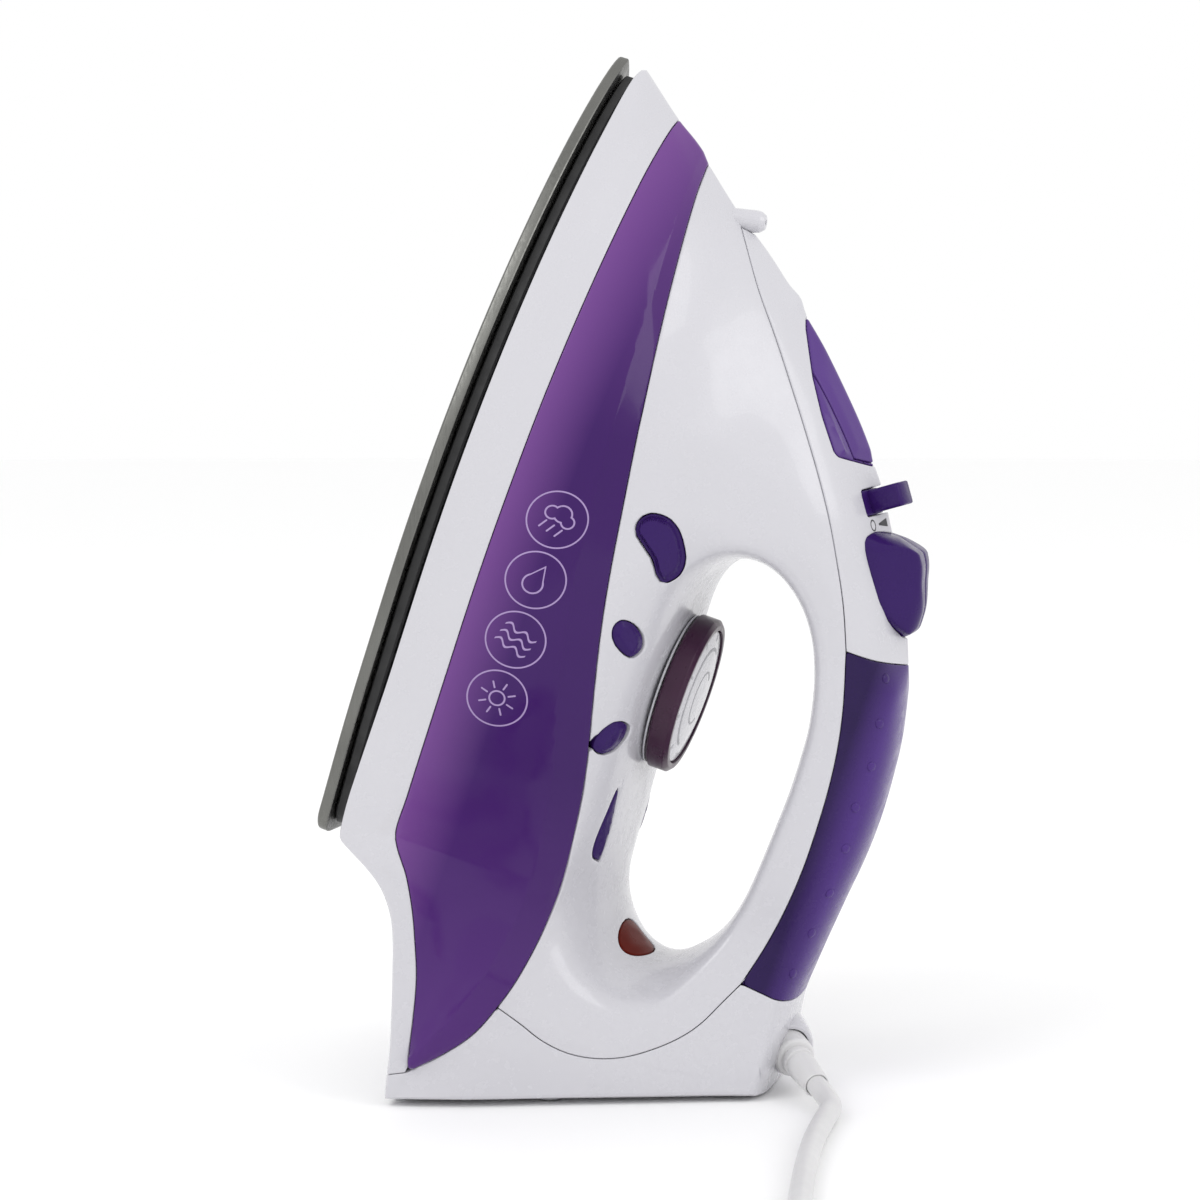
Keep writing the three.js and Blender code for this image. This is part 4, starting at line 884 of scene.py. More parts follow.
lamp_plastic = plastic("lamp_plastic", (0.5, 0.25, 0.12), 0.3, tone=0.08, relief=0.1)
ceramic = plastic("ceramic", (0.62, 0.58, 0.5), 0.6, tone=0.08, grain=1200, relief=0.4, depth=0.0001)
lamp_glass = plastic("lamp_glass", (0.12, 0.012, 0.007), 0.3, tone=0.15, specular=0.02, relief=0.05,
                     wear=0.05)
sole_metal = metal("sole_metal", (0.17, 0.17, 0.16), 0.3, brushed=(2.2, 2.2, 0.08))
cast_aluminium = metal("cast_aluminium", (0.55, 0.55, 0.55), 0.5, relief=0.5, depth=0.0002)
steel = metal("steel", (0.6, 0.6, 0.6), 0.28, brushed=(0.2, 2, 2))
brass = metal("brass", (0.62, 0.45, 0.18), 0.28, brushed=(0.2, 2, 2))
print_ink = plastic("print_ink", (0.03, 0.03, 0.035), 0.5, tone=0.1)
print_lilac = plastic("print_lilac", (0.33, 0.23, 0.45), 0.4, tone=0.1)
disc_grey = plastic("disc_grey", (0.36, 0.36, 0.38), 0.4, tone=0.06)

# ---------- mains lead ----------
LEAD_DIAMETER = 0.0058
GUARD_ROOT = np.array([0.054, -0.0045, 0.0116])
GUARD_WAY = np.array([0.5, -0.81, -0.24])
GUARD_WAY = GUARD_WAY / np.linalg.norm(GUARD_WAY)
COIL_CENTRE = np.array([0.0444, -0.221])
COIL_OUTER, COIL_INNER = 0.0434, 0.0235  # radii of the lead's centre line
COIL_LOW, COIL_HIGH = 0.0042, 0.01005  # heights of the two layers
ROW_TURNS = 3.425
CLIMB_TURNS = 0.4


def coil_run():
    """Two flat layers: spiral in along the surface, one climb, then spiral out on top."""
    points = []
    total = 2 * ROW_TURNS + CLIMB_TURNS
    steps = int(round(total * 24))
    for k in range(steps + 1):
        turn = total * k / steps
        if turn < ROW_TURNS:
            radius = COIL_OUTER + (COIL_INNER - COIL_OUTER) * turn / ROW_TURNS
            height = COIL_LOW
        elif turn < ROW_TURNS + CLIMB_TURNS:
            share = (turn - ROW_TURNS) / CLIMB_TURNS
            radius = COIL_INNER - 0.001 * math.sin(math.pi * share)
            height = COIL_LOW + (COIL_HIGH - COIL_LOW) * float(smooth_step(share))
        else:
            share = (turn - ROW_TURNS - CLIMB_TURNS) / ROW_TURNS
            radius = COIL_INNER + (COIL_OUTER - COIL_INNER) * share
            height = COIL_HIGH
        angle = -2 * math.pi * turn
        x, y = COIL_CENTRE + radius * np.array([math.cos(angle), math.sin(angle)])
        points.append([x, y, height])
    return points


def lead_route():
    start = [GUARD_ROOT + GUARD_WAY * along for along in (0.010, 0.017, 0.0243, 0.030)]
    down = [[0.0722, -0.037, 0.0033], [0.0726, -0.050, 0.00295], [0.0734, -0.070, 0.00295],
            [0.0760, -0.098, 0.00295], [0.0796, -0.126, 0.00295], [0.0834, -0.154, 0.00295],
            [0.0864, -0.180, 0.0034], [0.0878, -0.205, 0.0042], [0.0878, -0.214, 0.0042]]
    tail = [[0.0330, -0.2643, 0.0099], [0.0220, -0.2639, 0.0095], [0.0110, -0.2633, 0.0091],
            [0.0020, -0.2630, 0.0090]]
    return [list(q) for q in start] + down + coil_run() + tail


route = smooth_run(lead_route(), 0.0025)
lead = piece("mains_lead", tube(route, LEAD_DIAMETER / 2), lead_plastic,
             "lead_tube", "lead_coil", "lead_tail")


def make_plug():
    """Two-pin plug: moulded body that widens from its strain relief, with finger ridges."""
    half_widths = table_curve([[0, 3.5], [4, 3.9], [10, 6.0], [14, 9.2], [18, 11.3], [26, 11.8], [33, 11.6],
                               [37, 10.6], [38, 9.6]])
    half_heights = table_curve([[0, 3.5], [4, 3.8], [10, 4.8], [14, 6.2], [18, 7.2], [26, 7.4], [33, 7.3],
                                [37, 6.6], [38, 5.8]])
    rings = []
    at = np.concatenate([np.linspace(0, 13, 40), np.linspace(13.4, 36.5, 48), [37, 37.4, 37.7, 37.9, 38]])
    for along in at:
        groove = 0.45 * max(0.0, math.sin(along * 2 * math.pi / 2.6)) if along < 10.4 else 0.0
        finger = 0.5 * max(0.0, math.sin((along - 19) * 2 * math.pi / 2.4)) if 19 < along < 29.8 else 0.0
        ring = []
        for k in range(48):
            t = 2 * math.pi * k / 48
            c, s = math.cos(t), math.sin(t)
            power = 2 if along < 6 else 2 + 1.2 * float(smooth_step((along - 6) / 12))
            reach = (abs(c) ** power + abs(s) ** power) ** (-1 / power)
            width = float(half_widths(along)) - groove - (finger if abs(c) > 0.75 else 0)
            ring.append([(1.6 - along) * MM, (-263 + width * c * reach) * MM,
                         (8.1 + (float(half_heights(along)) - groove) * s * reach) * MM])
        rings.append(ring)
    return skin_of_rings(rings)


plug = piece("mains_plug", make_plug(), lead_plastic, "plug_body")


def make_tie():
    """Flat strap round one side of the coil."""
    wide, low, high, corner = 13.9, 0.4, 13.9, 4.0
    def loop(distance):
        w, a, b = wide - distance, low + distance, high - distance
        box = [[-w, a], [w, a], [w, b], [-w, b]]
        return soften(box, corner - distance, closed=True, count=8)
    outer, inner = loop(0), loop(0.8)
    cx, cy = (COIL_CENTRE[0] - 0.0334) / MM, COIL_CENTRE[1] / MM
    rings = []
    swollen = loop(-0.12)
    sections = ((-3.2, outer), (-2.9, swollen), (2.9, swollen), (3.2, outer), (3.2, inner), (-3.2, inner))
    for side, line in sections:
        rings.append([[(cx + q[0]) * MM, (cy + side) * MM, q[1] * MM] for q in line])
    return skin_of_rings(rings, wrap=True)


tie = piece("coil_strap", make_tie(), black_rubber, "coil_tie")

guard_loop = soften([[3.02, 24], [3.5, 24, 0.3], [4.15, 12.4], [3.6, 12.2], [3.65, 11.4], [4.3, 11.2],
                     [4.4, 9.4], [3.8, 9.2], [3.9, 8.4], [5.2, 8.2, 0.5], [5.7, 7.4, 0.5], [5.7, -1.5, 0.4],
                     [5.2, -2.5], [3.02, -2.5]], 0.15, closed=True, count=3)
guard = turned(in_metres(guard_loop), GUARD_ROOT, GUARD_WAY, wrap=True)
piece("lead_guard", guard, lead_plastic, "cord_guard", body="cord_swivel")

# ---------- inserts, lens, slider and button openings ----------
KIDNEY = [[102.9, 55.2], [106, 55], [108.6, 57.2], [109, 61.3], [107.2, 64.6], [103.4, 67.2],
          [98.7, 68.8], [94.2, 68], [91.7, 65.4], [93.4, 63.4], [97, 61.4], [99.8, 58.4]]
FRONT_DROP = [[77.5, 58.2], [79.6, 59.6], [79.3, 62.4], [76.4, 65.2], [72.6, 65.8],
              [70.2, 64.2], [71.6, 61.2], [74.4, 58.8]]
REAR_DROP = [[46.2, 62.2], [49.8, 63.4], [52.4, 65.8], [51.6, 67.6], [48.4, 68], [44.2, 66.8],
             [42.6, 64.6], [43.6, 62.6]]
SLIVER = [[13, 69.3], [25.4, 69.2], [35.4, 69.8], [36.8, 71], [35.6, 71.4], [23, 71.4],
          [13, 71.6], [11.2, 70.6]]
SURROUND = [[169.5, 73.2], [166.5, 74.6], [155, 81.6], [146, 88], [137.8, 94.6], [137, 96], [136.4, 115],
            [190, 115], [190, 73.2]]
LID = [[169.5, 60], [137.8, 60], [137.8, 115], [185, 115], [176, 76]]
LID_HALF_WIDTH = 8
# Thumb buttons: half of their plan as [side, forward], and heights of their foot and crown.
BUTTON_PLAN = [[2, 95.6], [3.4, 96.2], [6.8, 97.5], [9.5, 99.5], [12, 103.7], [13.1, 109.1], [13.6, 113.1],
               [13.7, 115.4], [13.2, 118], [12, 119], [10.4, 119.8], [8.3, 120.5], [6.1, 120.8], [2.6, 121]]
BUTTON_HALF = table_curve([[f, y] for y, f in BUTTON_PLAN])
BUTTON_FOOT = table_curve([[95.4, 126.2], [97.5, 123.4], [99.5, 121], [103.7, 117], [109.1, 112.9],
                           [113.1, 110.3], [118, 107.6], [121.7, 107.4]])
BUTTON_CROWN = table_curve([[95.4, 126.8], [97, 128.6], [99.8, 129.9], [103.4, 129.8], [111, 127.6],
                            [118, 125], [119.2, 123.8], [120, 121], [121, 117]])
BUTTON_SLOPE = table_curve([[106, 14], [113, 14], [120, 11.4], [126, 8.4], [128.8, 6], [130.2, 3]])

INSERT_SPACING = 0.4
INSERT_FROM = 21.5  # half of the body's width at which the drops and slivers begin
SCREW_X, SCREW_Y = -6, 33  # places of the heel screws in the row, in millimetres


def side_of(outline, side=0, grow=0.0, beyond=None):
    """Depth inside an outline of the side view, on one side of the iron or on both,
    and only where the body is wider than a limit."""
    line = np.array(outline)

    def field(points):
        depth = outline_distance(points[:, [0, 2]], line) + grow
        if beyond is not None:
            depth = np.minimum(depth, np.abs(points[:, 1]) - beyond + grow)
        return depth if side == 0 else np.minimum(depth, side * points[:, 1] * 3)

    return field


def outside(field):
    return lambda points: -field(points)


LENS_CENTRE = np.array([-10.3, 83.2])
LENS_OUT = np.array([0.83, 0.56]) / math.hypot(0.83, 0.56)


def lens_field(radius):
    def field(points):
        p = points[:, [0, 2]] - LENS_CENTRE
        along = p @ LENS_OUT
        across = p @ np.array([-LENS_OUT[1], LENS_OUT[0]])
        reach = np.sqrt(across ** 2 + (points[:, 1] / 2.2) ** 2)
        return np.minimum(radius - reach, 12 - np.abs(along))
    return field


SLIDER_AXIS = np.array([118.6, 93.6])
SLOPE_UP = np.array([0.562, 0.828]) / math.hypot(0.562, 0.828)  # as [forward, height]
SLOPE_ALONG = np.array([SLOPE_UP[1], -SLOPE_UP[0]])
WINDOW_ANGLE = 0.6
BAND_RADIUS = 17.7
SLIDER_REST = math.radians(-15)


def slope_place(points):
    """Angle round the slider's axis and distance along it, for points of the lying iron."""
    p = points[:, [0, 2]] - SLIDER_AXIS
    return np.arctan2(points[:, 1], p @ SLOPE_UP), p @ SLOPE_ALONG


def window_field(points):
    angle, along = slope_place(points)
    return np.minimum(3.8 - np.abs(along), (WINDOW_ANGLE - np.abs(angle)) * 18)


NOZZLE_ROOT = np.array([188.0, 0, 43.5])
NOZZLE_WAY = np.array([2.2, 0, 10.8]) / math.hypot(2.2, 10.8)


def nozzle_field(points):
    p = points - NOZZLE_ROOT
    along = p @ NOZZLE_WAY
    away = np.linalg.norm(p - along[:, None] * NOZZLE_WAY, axis=1)
    return np.where(along > -8, 3.3 - away, -20)


def screw_field(points):
    row = to_row(points) / MM
    away = np.hypot(row[:, 0] - SCREW_X, np.abs(row[:, 1]) - SCREW_Y)
    return np.where(row[:, 2] < 4, 3.9 - away, -20)


kidney_line, front_drop_line, rear_drop_line, sliver_line = (
    smooth_line(line, INSERT_SPACING, closed=True, corner=100)
    for line in (KIDNEY, FRONT_DROP, REAR_DROP, SLIVER))
button_line = np.array([[y, f] for y, f in BUTTON_PLAN] + [[-y, f] for y, f in BUTTON_PLAN[::-1]])
CUT = GAP / 2
kidney_room = side_of(kidney_line, grow=CUT)
front_drop_room = side_of(front_drop_line, grow=CUT)
rear_drop_room = side_of(rear_drop_line, grow=CUT)
sliver_room = side_of(sliver_line, grow=CUT, beyond=INSERT_FROM)


def button_room(points):
    return np.minimum(outline_distance(points[:, [1, 0]], button_line) + 0.2, points[:, 2] - 103)


surround_room = side_of(SURROUND)

# ---------- covers ----------
piece("skirt_shell", tipped(cut_shell(zone_field("skirt"))), white_plastic, "skirt")
tank_solid = cut_shell(zone_field("tank", outside(nozzle_field)), lift=tank_ridge, creases=[ridge_side])
piece("tank_shell", tipped(tank_solid), tank_plastic, "water_tank")

housing_rooms = (kidney_room, front_drop_room, rear_drop_room, sliver_room, lens_field(5.9), button_room,
                 window_field)
housing_cuts = [outside(room) for room in housing_rooms]
housing_solid = cut_shell(zone_field("housing", *housing_cuts), way=sideways_near(kidney_room))
piece("housing_shell", tipped(housing_solid), white_plastic, "main_housing")


def lip_lift(points, depth):
    """The cover swells into a lip above the filler."""
    away = np.hypot(points[:, 0] - 174.5, points[:, 2] - 70.5)
    return 1.3 * np.exp(-(away / 3.2) ** 2) * smooth_step(depth / 0.6)


cover_cuts = [outside(room) for room in (button_room, window_field, surround_room, nozzle_field)]
cover_solid = cut_shell(zone_field("cover", *cover_cuts), lift=lip_lift)
piece("cover_shell", tipped(cover_solid), white_plastic, "handle_cover")
piece("grip_shell", tipped(cut_shell(zone_field("grip", outside(button_room)))), grip_plastic, "grip")
piece("heel_shell", tipped(cut_shell(zone_field("heel", outside(screw_field)))), white_plastic, "rear_cover")


# ---------- purple inserts, kidney and lens ----------
def gem_lift(points, depth):
    return -0.35 + 0.95 * smooth_step(depth / 1.9)


gems = (("front_drop", front_drop_line), ("rear_drop", rear_drop_line), ("sliver", sliver_line))
for side, word in ((-1, "left"), (1, "right")):
    for name, line in gems:
        gem = cut_shell(side_of(line, side, grow=-CUT, beyond=INSERT_FROM), lift=gem_lift, edge=0.35, fine=2)
        piece(f"{name}_{word}", tipped(gem), purple_plastic, f"{name}_trim_{word}")


def kidney_lift(points, depth):
    """Low rim round a raised face."""
    return -0.75 + 1.55 * smooth_step((depth - 0.75) / 0.75)


for side, name, body in ((-1, "self_clean_button", "self_clean"), (1, "kidney_trim_right", "iron")):
    field = side_of(kidney_line, side, grow=-CUT)
    kidney = cut_shell(field, lift=kidney_lift, edge=0.3, fine=2, way=sideways)
    piece(name + "_face", tipped(kidney), purple_plastic, name, body=body)


def pillow_lift(points, depth):
    """Slightly domed face."""
    return 0.5 * smooth_step(depth / 3)


lens = cut_shell(lens_field(5.6), lift=pillow_lift, edge=0.3, fine=1)
piece("lamp_window", tipped(lens), lamp_glass, "lamp_lens")


# ---------- filler ----------
def rib_line(points):
    return np.abs(points[:, 1]) - (11.5 - 0.03 * (points[:, 0] - 136))


def rib_lift(points, depth):
    """Two ribs that run down the surround, closer together towards the nose."""
    return 0.9 * np.clip(1 - np.abs(rib_line(points)) / 2.2, 0, 1) * smooth_step(depth / 1.5) - 0.15


lid_line = np.array(LID)


def lid_field(points):
    depth = outline_distance(points[:, [0, 2]], lid_line)
    return np.minimum(depth, LID_HALF_WIDTH - np.abs(points[:, 1]))


cover_zone = zone_field("cover")


def filler_frame_field(points):
    return np.minimum.reduce([cover_zone(points), surround_room(points) - GAP, -lid_field(points) - GAP])


def filler_lid_field(points):
    return np.minimum.reduce([cover_zone(points), surround_room(points) - GAP, lid_field(points)])


filler_frame = cut_shell(filler_frame_field, lift=rib_lift, creases=[rib_line], fine=1)
piece("filler_frame", tipped(filler_frame), filler_plastic, "filler_surround", sharp=25)
filler_lid = cut_shell(filler_lid_field, lift=pillow_lift, fine=1)
piece("filler_lid", tipped(filler_lid), filler_plastic, "filler_door", body="lid")


# ---------- slider ----------
def slope_point(radius, angle, along):
    spot = SLIDER_AXIS + SLOPE_UP * radius * math.cos(angle) + SLOPE_ALONG * along
    return [spot[0], radius * math.sin(angle), spot[1]]


def bar_ring(inner, outer, half_width, corner, angle):
    box = [[inner, -half_width], [outer, -half_width], [outer, half_width], [inner, half_width]]
    return [slope_point(r, angle, a) for r, a in soften(box, corner, closed=True, count=4)]


band_angles = np.linspace(-WINDOW_ANGLE - 0.61, WINDOW_ANGLE + 0.09, 60)
band = skin_of_rings([bar_ring(BAND_RADIUS - 1.5, BAND_RADIUS, 3.5, 0.25, angle) for angle in band_angles])
knob_rings = []
for share, pinch in ((0, 0.9), (0.04, 0.35), (0.12, 0), (0.88, 0), (0.96, 0.35), (1, 0.9)):
    angle = SLIDER_REST - 0.15 + 0.3 * share
    knob_rings.append(bar_ring(BAND_RADIUS - 0.7, 27.4 - 0.6 * pinch, 3.2 - pinch, 0.7, angle))
piece("steam_lever", tipped(join(band, skin_of_rings(knob_rings))), purple_plastic, "steam_slider",
      body="steam_control")


# ---------- thumb buttons ----------
def button_section(f, side):
    """Closed section of one thumb button across its length: its wall leans in towards the crown."""
    foot, crown = float(BUTTON_FOOT(f)), float(BUTTON_CROWN(f))
    plan = float(BUTTON_HALF(f))
    wall = [[max(0.6, min(plan, float(BUTTON_SLOPE(h)))), h] for h in np.linspace(foot, crown, 9)]
    corner = wall[-1]
    cut = min(1.5, 0.4 * (crown - foot), 0.5 * (corner[0] - 0.25))
    low = wall[-2]
    turn = []
    for t in np.linspace(0, 1, 7):
        way = np.array(corner) - (np.array(corner) - low) / np.linalg.norm(np.array(corner) - low) * cut
        end = np.array([corner[0] - cut, crown])
        turn.append(list((1 - t) ** 2 * way + 2 * t * (1 - t) * np.array(corner) + t * t * end))
    section = [[0.25, foot]] + [q for q in wall if q[1] < turn[0][1] - 0.01]
    while len(section) < 9:
        section.append(section[-1])
    section = section[:9] + turn + [[(0.55 + turn[-1][0]) / 2, crown], [0.55, crown], [0.25, crown - 0.3]]
    return [[f, side * y, h] for y, h in section]


lengthwise = np.concatenate([95.62 + 3 * np.linspace(0, 1, 10) ** 1.5, np.linspace(99, 117.5, 34),
                             120.98 - 3.2 * np.linspace(1, 0, 14) ** 1.6])
for side, name, body in ((-1, "spray", "spray_push"), (1, "steam", "steam_push")):
    button = skin_of_rings([button_section(f, side) for f in lengthwise])
    piece(f"{name}_thumb_button", tipped(button), purple_plastic, f"{name}_button", body=body, sharp=45)

# ---------- dial ----------
DIAL_FOOT = to_row([[60, 0, 0]])[0]


def dial_part(name, loop, body, material, node, wrap=True):
    solid = turned(in_metres(loop), DIAL_FOOT, UPWARD, steps=128, wrap=wrap)
    piece(name, solid, material, node, body=body)


ring_loop = soften([[19.6, 71.3], [21.8, 71.3, 0.2], [22.4, 71.9, 0.3], [22.4, 76.6, 0.5], [21.2, 77.7, 0.4],
                    [19.6, 77.7]], 0.15, closed=True)
face_line = soften([[0, 75], [3.2, 75], [3.2, 71.3], [19.3, 71.3], [19.3, 77.1, 0.5], [12, 78.3, 4],
                    [0, 78.7]], 0.2)
seat_loop = soften([[3.6, 70.3], [21.6, 70.3, 0.2], [21.9, 70.9, 0.2], [3.6, 70.9]], 0.1, closed=True)
dial_part("dial_rim", ring_loop, "dial", plum_plastic, "dial_ring")
dial_part("dial_face", face_line, "dial", white_plastic, "dial_disc", wrap=False)
dial_part("dial_base", seat_loop, "iron", white_plastic, "dial_seat")


def arc_strip(radius, width, start, end, steps=64):
    """Thin curved strip that stands on the dial's face."""
    rings = []
    for k in range(steps + 1):
        angle = math.radians(start + (end - start) * k / steps)
        around = SIDEWAYS * math.cos(angle) + FORWARD * math.sin(angle)
        ring = []
        for r, up in ((radius - width / 2, -0.2), (radius + width / 2, -0.2), (radius + width / 2, 0.06),
                      (radius - width / 2, 0.06)):
            top = 78.3 + (12 - r) / 12 * 0.4 if r < 12 else 78.3 - (r - 12) / 7.3 * 1.2
            ring.append(DIAL_FOOT + (around * r + UPWARD * (top + up)) * MM)
        rings.append(ring)
    return skin_of_rings(rings)


arcs = [arc_strip(7.5, 0.7, 40, 300), arc_strip(14.2, 0.9, 60, 250)]
for k in range(7):
    arcs.append(arc_strip(17.4, 1.6, 40 + 38 * k, 42.5 + 38 * k, steps=3))
piece("dial_marks", join(*arcs), disc_grey, body="dial")

# ---------- nozzle ----------
nozzle_loop = soften([[0.8, -3], [3.1, -3], [3.1, 8.2], [2.9, 9.6, 0.8], [1.9, 11, 0.6], [0.8, 11]], 0.2,
                     closed=True)
nozzle = turned(nozzle_loop, NOZZLE_ROOT, NOZZLE_WAY, steps=48, wrap=True)
piece("spray_tip", tipped(nozzle), white_plastic, "spray_nozzle")


# ---------- sole and heat shield ----------
def sole_plan(distance):
    """Outline of the sole's plan as [side, forward], moved in by a distance."""
    behind = (1 - np.cos(np.linspace(0, math.pi / 2, 60))) * NOSE_REACH
    half = SOLE_HALF_WIDTH * nose_share(np.maximum(behind, 1e-9), NOSE_REACH)
    nose = [[w * (1 - distance / SOLE_HALF_WIDTH), SOLE_LENGTH - b - distance * 1.6]
            for b, w in zip(behind, half)]
    rear = SOLE_REAR_HALF_WIDTH - distance
    side = smooth_run([nose[-1], [(SOLE_HALF_WIDTH + SOLE_REAR_HALF_WIDTH) / 2 + 1 - distance, 34],
                       [rear, distance + 6]], 0.5)
    side = side[np.linspace(0, len(side) - 1, 50).astype(int)].tolist()
    corner = [[rear - 6 * (1 - math.cos(t)), distance + 6 - 6 * math.sin(t)]
              for t in np.linspace(0, math.pi / 2, 9)[1:]]
    back = [[x, distance] for x in np.linspace(rear - 6, 0, 20)[1:]]
    half_line = nose[1:] + side[1:] + corner + back
    return [nose[0]] + half_line + [[-x, f] for x, f in half_line[-2::-1]]


def plan_place(side, forward, height):
    return [forward, side, height]


def evaluated(thing):
    """Applies a piece's modifiers."""
    bpy.context.view_layer.update()
    graph = bpy.context.evaluated_depsgraph_get()
    mesh = bpy.data.meshes.new_from_object(thing.evaluated_get(graph), depsgraph=graph)
    thing.modifiers.clear()
    thing.data = mesh


sole_levels = [(1.1, 0), (0.62, 0.1), (0.25, 0.38), (0.06, 0.75), (0, 1.2), (0, 3.0), (0.15, 3.3),
               (0.5, SOLE_THICKNESS)]
sole_rings = [[plan_place(a, b, level) for a, b in sole_plan(distance)] for distance, level in sole_levels]
sole = piece("sole", tipped(skin_of_rings(sole_rings)), sole_metal, "soleplate")
# One steam hole at the nose, and pairs behind it: how far forward, how far apart, how far from the edge.
NOSE_HOLE = 192
FIRST_PAIR, PAIR_STEP, PAIR_INSET, PAIRS = 180, 17, 13, 6
steam_holes = [[NOSE_HOLE, 0]]
for k in range(PAIRS):
    forward = FIRST_PAIR - PAIR_STEP * k
    width = SOLE_HALF_WIDTH * float(nose_share(np.array(SOLE_LENGTH - forward), NOSE_REACH)) - PAIR_INSET
    steam_holes += [[forward, width], [forward, -width]]
drill_profile = [[0, -1], [3.0, -1], [2.9, 0.0], [1.9, 0.55], [1.6, 0.9], [1.6, 5], [0, 5]]
drills = [turned(drill_profile, [forward, side, 0], [0, 0, 1], steps=28) for forward, side in steam_holes]
drill = piece("drill", tipped(join(*drills)), sole_metal)
cut = sole.modifiers.new("holes", "BOOLEAN")
cut.operation = "DIFFERENCE"
cut.solver = "MANIFOLD"
cut.object = drill
evaluated(sole)
bpy.data.objects.remove(drill)
sole.data.shade_smooth()
sole.data.set_sharp_from_angle(angle=math.radians(14))

outer, inner = sole_plan(2.8), sole_plan(8.4)
shield_rings = []
for distance, level in ((0.5, 3.7), (0, 4.2), (0, 6.4), (0.5, 6.9)):
    shield_rings.append([plan_place(a, b, level) for a, b in inset_loop(outer, distance)])
shield_rings += [[plan_place(a, b, level) for a, b in inner] for level in (6.9, 3.7)]
piece("heat_tray", tipped(skin_of_rings(shield_rings, wrap=True)), black_plastic, "heat_shield")

# ---------- heel: boss for the lead and screw cups ----------
boss_loop = soften([[6.05, 2.6], [7.2, 2.6, 0.5], [8.0, 0.5, 2], [8.6, -4, 2], [9.2, -12], [6.05, -12]], 0.4,
                   closed=True)
cup_loop = soften([[3.75, 0.3], [3.75, 6], [2.2, 6], [2.2, 6.8], [4.5, 6.8], [4.5, 0.9]], 0.15, closed=True)
boss = turned(in_metres(boss_loop), GUARD_ROOT, GUARD_WAY, steps=64, wrap=True)
cups = [turned(in_metres(cup_loop), [SCREW_X * MM, y * MM, 0], [0, 0, 1], steps=32, wrap=True)
        for y in (-SCREW_Y, SCREW_Y)]
piece("heel_fittings", join(boss, *cups), white_plastic, "rear_cover")

# ---------- raised dots of the grip ----------
DOTS = [[84.4, 127.7], [73.2, 129.8], [61.5, 131.1], [49.2, 131.6], [37.2, 131.9], [24.7, 131.8],
        [12.4, 131.1], [0.2, 130.3]]


def body_spot(forward, height, side):
    """Nearest point of the body's skin to a place in the side view, with its normal."""
    near = np.argmin(np.hypot(body_points[:, 0] - forward, body_points[:, 2] - height)
                     + np.where(body_points[:, 1] * side > 0, 0, 1000))
    return body_points[near], body_normals[near]


dot_profile = [[1.35 * math.cos(t), 0.5 * math.sin(t)] for t in np.linspace(math.pi / 2, 0, 7)]
dot_profile = [[0, 0.5]] + dot_profile[1:] + [[1.35, -0.4], [0, -0.4]]
dots = [turned(dot_profile, *body_spot(forward, height, side), steps=20)
        for side in (-1, 1) for forward, height in DOTS]
piece("grip_dots", tipped(join(*dots)), grip_plastic)


# ---------- printed marks ----------
def stroke(distance, half_width=0.22):
    return half_width - np.abs(distance)


def segment_distance(p, a, b):
    a, b = np.array(a, float), np.array(b, float)
    t = np.clip((p - a) @ (b - a) / np.dot(b - a, b - a), 0, 1)
    return np.linalg.norm(p - a - t[:, None] * (b - a), axis=1)


def cloud_sign(p):
    """Puff of steam over three short lines."""
    puff = np.minimum.reduce([np.hypot(p[:, 0] - x, p[:, 1] - y) - r
                              for x, y, r in ((-2.1, 0.9, 1.7), (0.3, 1.9, 2.2), (2.5, 0.8, 1.6))])
    lines = [segment_distance(p, [x, -1.6], [x - 0.6, -3.8]) for x in (-2, 0.3, 2.6)]
    return np.maximum.reduce([stroke(puff)] + [stroke(d) for d in lines])


def drop_sign(p):
    """Drop of water."""
    round_part = np.hypot(p[:, 0], p[:, 1] + 1.2) - 2.5
    tip = np.maximum(np.abs(p[:, 0]) * 1.25 + (p[:, 1] - 4.2) * 0.62, -p[:, 1] - 0.2)
    return stroke(np.minimum(round_part, tip))


def waves_sign(p):
    """Three waves."""
    rows = [p[:, 1] - y - 0.7 * np.sin(p[:, 0] * 1.5) for y in (-2.4, 0, 2.4)]
    return np.minimum(np.maximum.reduce([stroke(r * 0.75) for r in rows]), 4.4 - np.abs(p[:, 0]))


def sun_sign(p):
    """Round centre with eight rays."""
    away = np.hypot(p[:, 0], p[:, 1])
    rays = []
    for k in range(8):
        t = k * math.pi / 4
        ray = np.array([math.cos(t), math.sin(t)])
        rays.append(segment_distance(p, 2.9 * ray, 4.5 * ray))
    return np.maximum.reduce([stroke(away - 1.9)] + [stroke(d) for d in rays])


ICON_HEIGHT = 36
ICON_RADIUS = 7.4
ICON_TURN = math.radians(18)
PRINT = {"edge": 0.02, "wall": 0.08, "fine": 4, "reach": 3}  # how thin and how fine a printed mark is cut


def icon_field(forward, sign):
    """A sign in its ring, on the near side of the tank."""
    cosine, sine = math.cos(ICON_TURN), math.sin(ICON_TURN)

    def field(points):
        p = np.column_stack([ICON_HEIGHT - points[:, 2], points[:, 0] - forward]) * [-1, 1]
        p = p @ np.array([[cosine, sine], [-sine, cosine]])
        away = np.hypot(p[:, 0], p[:, 1])
        depth = np.maximum(stroke(away - ICON_RADIUS, 0.2), np.minimum(sign(p), ICON_RADIUS - 1 - away))
        return np.minimum(depth, -points[:, 1])

    return field


ICONS = ((100, cloud_sign), (83.5, drop_sign), (67, waves_sign), (50.6, sun_sign))
for number, (forward, sign) in enumerate(ICONS):
    icon = cut_shell(icon_field(forward, sign), lift=lambda p, d: tank_ridge(p) + 0.06, **PRINT)
    piece(f"tank_sign_{number + 1}", tipped(icon), print_lilac)


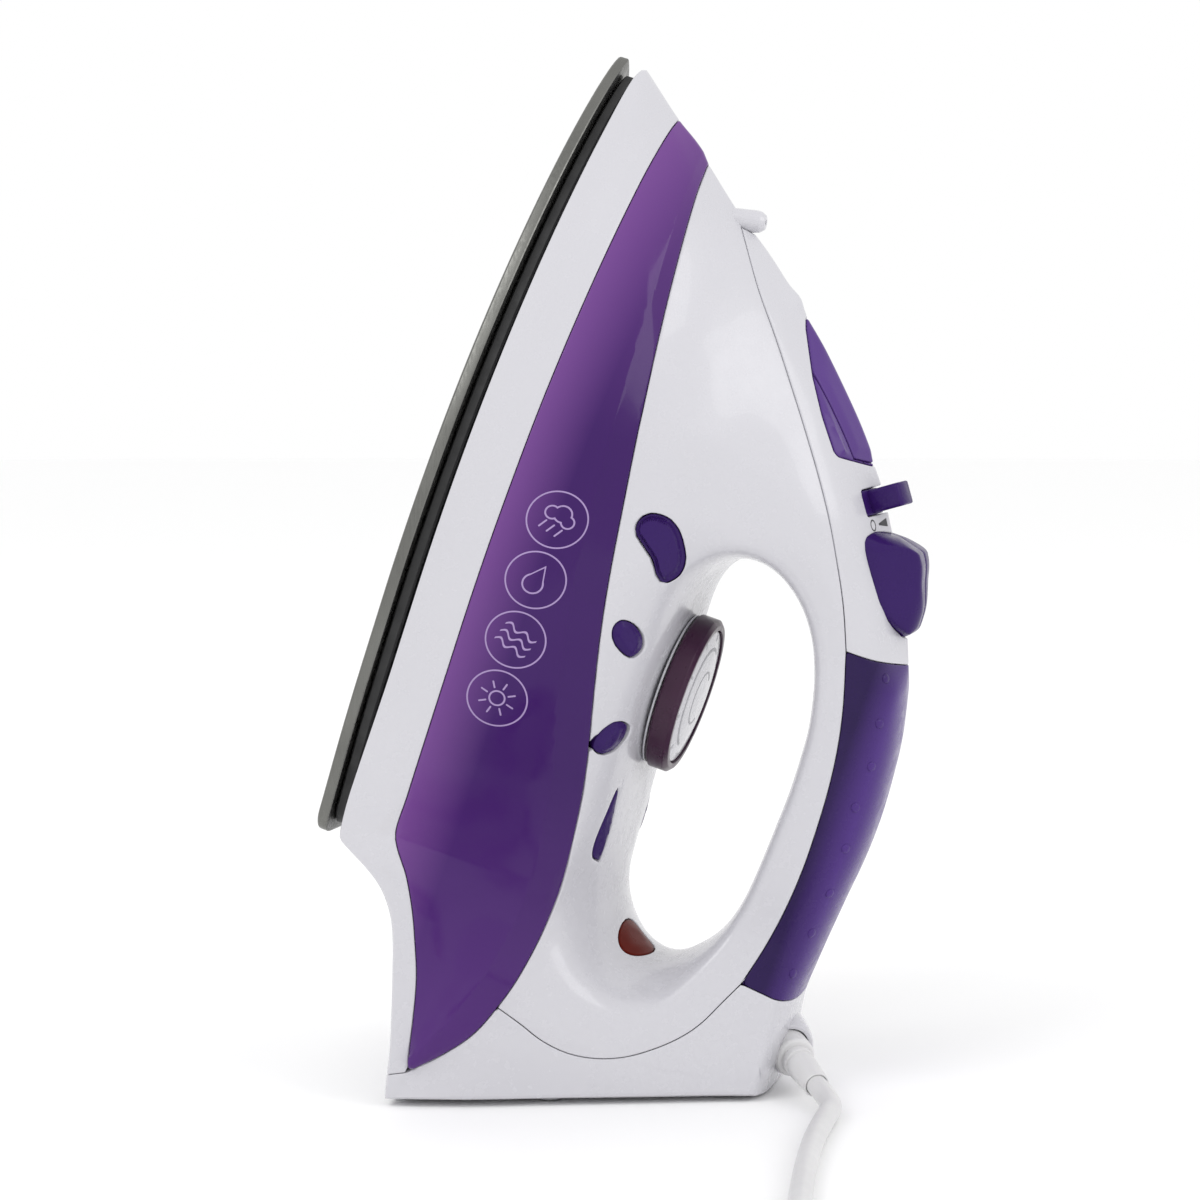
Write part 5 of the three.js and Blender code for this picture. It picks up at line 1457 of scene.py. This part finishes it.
def slope_mark_field(points):
    """Ring and wedge beside the slider: no steam, and more steam."""
    angle, along = slope_place(points)
    p = np.column_stack([angle * 19, along])
    ring = stroke(np.hypot(p[:, 0] + 9.6, (p[:, 1] + 6.3) * 0.8) - 1.15, 0.17)
    q = p - [-6.4, -6.4]
    wedge = np.minimum.reduce([q[:, 0], 4.6 - q[:, 0], 0.25 + 0.2 * q[:, 0] - np.abs(q[:, 1])])
    return np.maximum(ring, wedge)


slider_marks = cut_shell(slope_mark_field, lift=lambda p, d: 0 * d + 0.05, **PRINT)
piece("slider_marks", tipped(slider_marks), print_ink)

# ---------- finishes of the nodes that stay ----------
FINISHES = (
    (steel, "heating_element steam_chamber_cover valve_needle spray_spring steam_spring dial_shaft"
            " heel_screw_left heel_screw_right"),
    (cast_aluminium, "heater_casting"),
    (brass, "valve_seat plug_blade_left plug_blade_right"),
    (natural_plastic, "filler_funnel spray_plunger spray_pump spray_feed_tube spray_hose"
                      " steam_plunger steam_pump steam_feed_tube"),
    (ceramic, "thermostat thermal_fuse terminal_block"),
    (lamp_plastic, "neon_lamp"),
    (wire_sleeve, "live_wire"),
    (black_rubber, "neutral_wire"),
)
for material, nodes in FINISHES:
    for node in nodes.split():
        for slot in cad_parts[node].material_slots:
            slot.material = material


# ---------- floor and light ----------
LIGHT_AIM = (0, 0, 0.14)
LIGHTS = (("key", (-0.9, -1.4, 1.6), 1.2, 10), ("side", (1.6, -0.6, 1.0), 0.9, 5))  # name, place, size, watts


def make_stage():
    bpy.ops.mesh.primitive_circle_add(vertices=96, radius=9, fill_type="NGON", location=(0, 0, 0))
    floor = bpy.context.object
    floor.name = "floor"
    material, shader = new_material("floor_white", (0.985, 0.985, 0.985), 0.8, specular=0.1)
    floor.data.materials.append(material)
    world = bpy.data.worlds.new("world")
    bpy.context.scene.world = world
    world.use_nodes = True
    background = world.node_tree.nodes["Background"]
    background.inputs["Color"].default_value = (1, 1, 1, 1)
    background.inputs["Strength"].default_value = 1.0
    for name, place, size, power in LIGHTS:
        data = bpy.data.lights.new(name, "AREA")
        data.size = size
        data.energy = power
        lamp = bpy.data.objects.new(name, data)
        lamp.location = place
        lamp.rotation_euler = (Vector(LIGHT_AIM) - lamp.location).to_track_quat("-Z", "Y").to_euler()
        bpy.context.collection.objects.link(lamp)
    bpy.context.scene.view_settings.view_transform = "Standard"


make_stage()
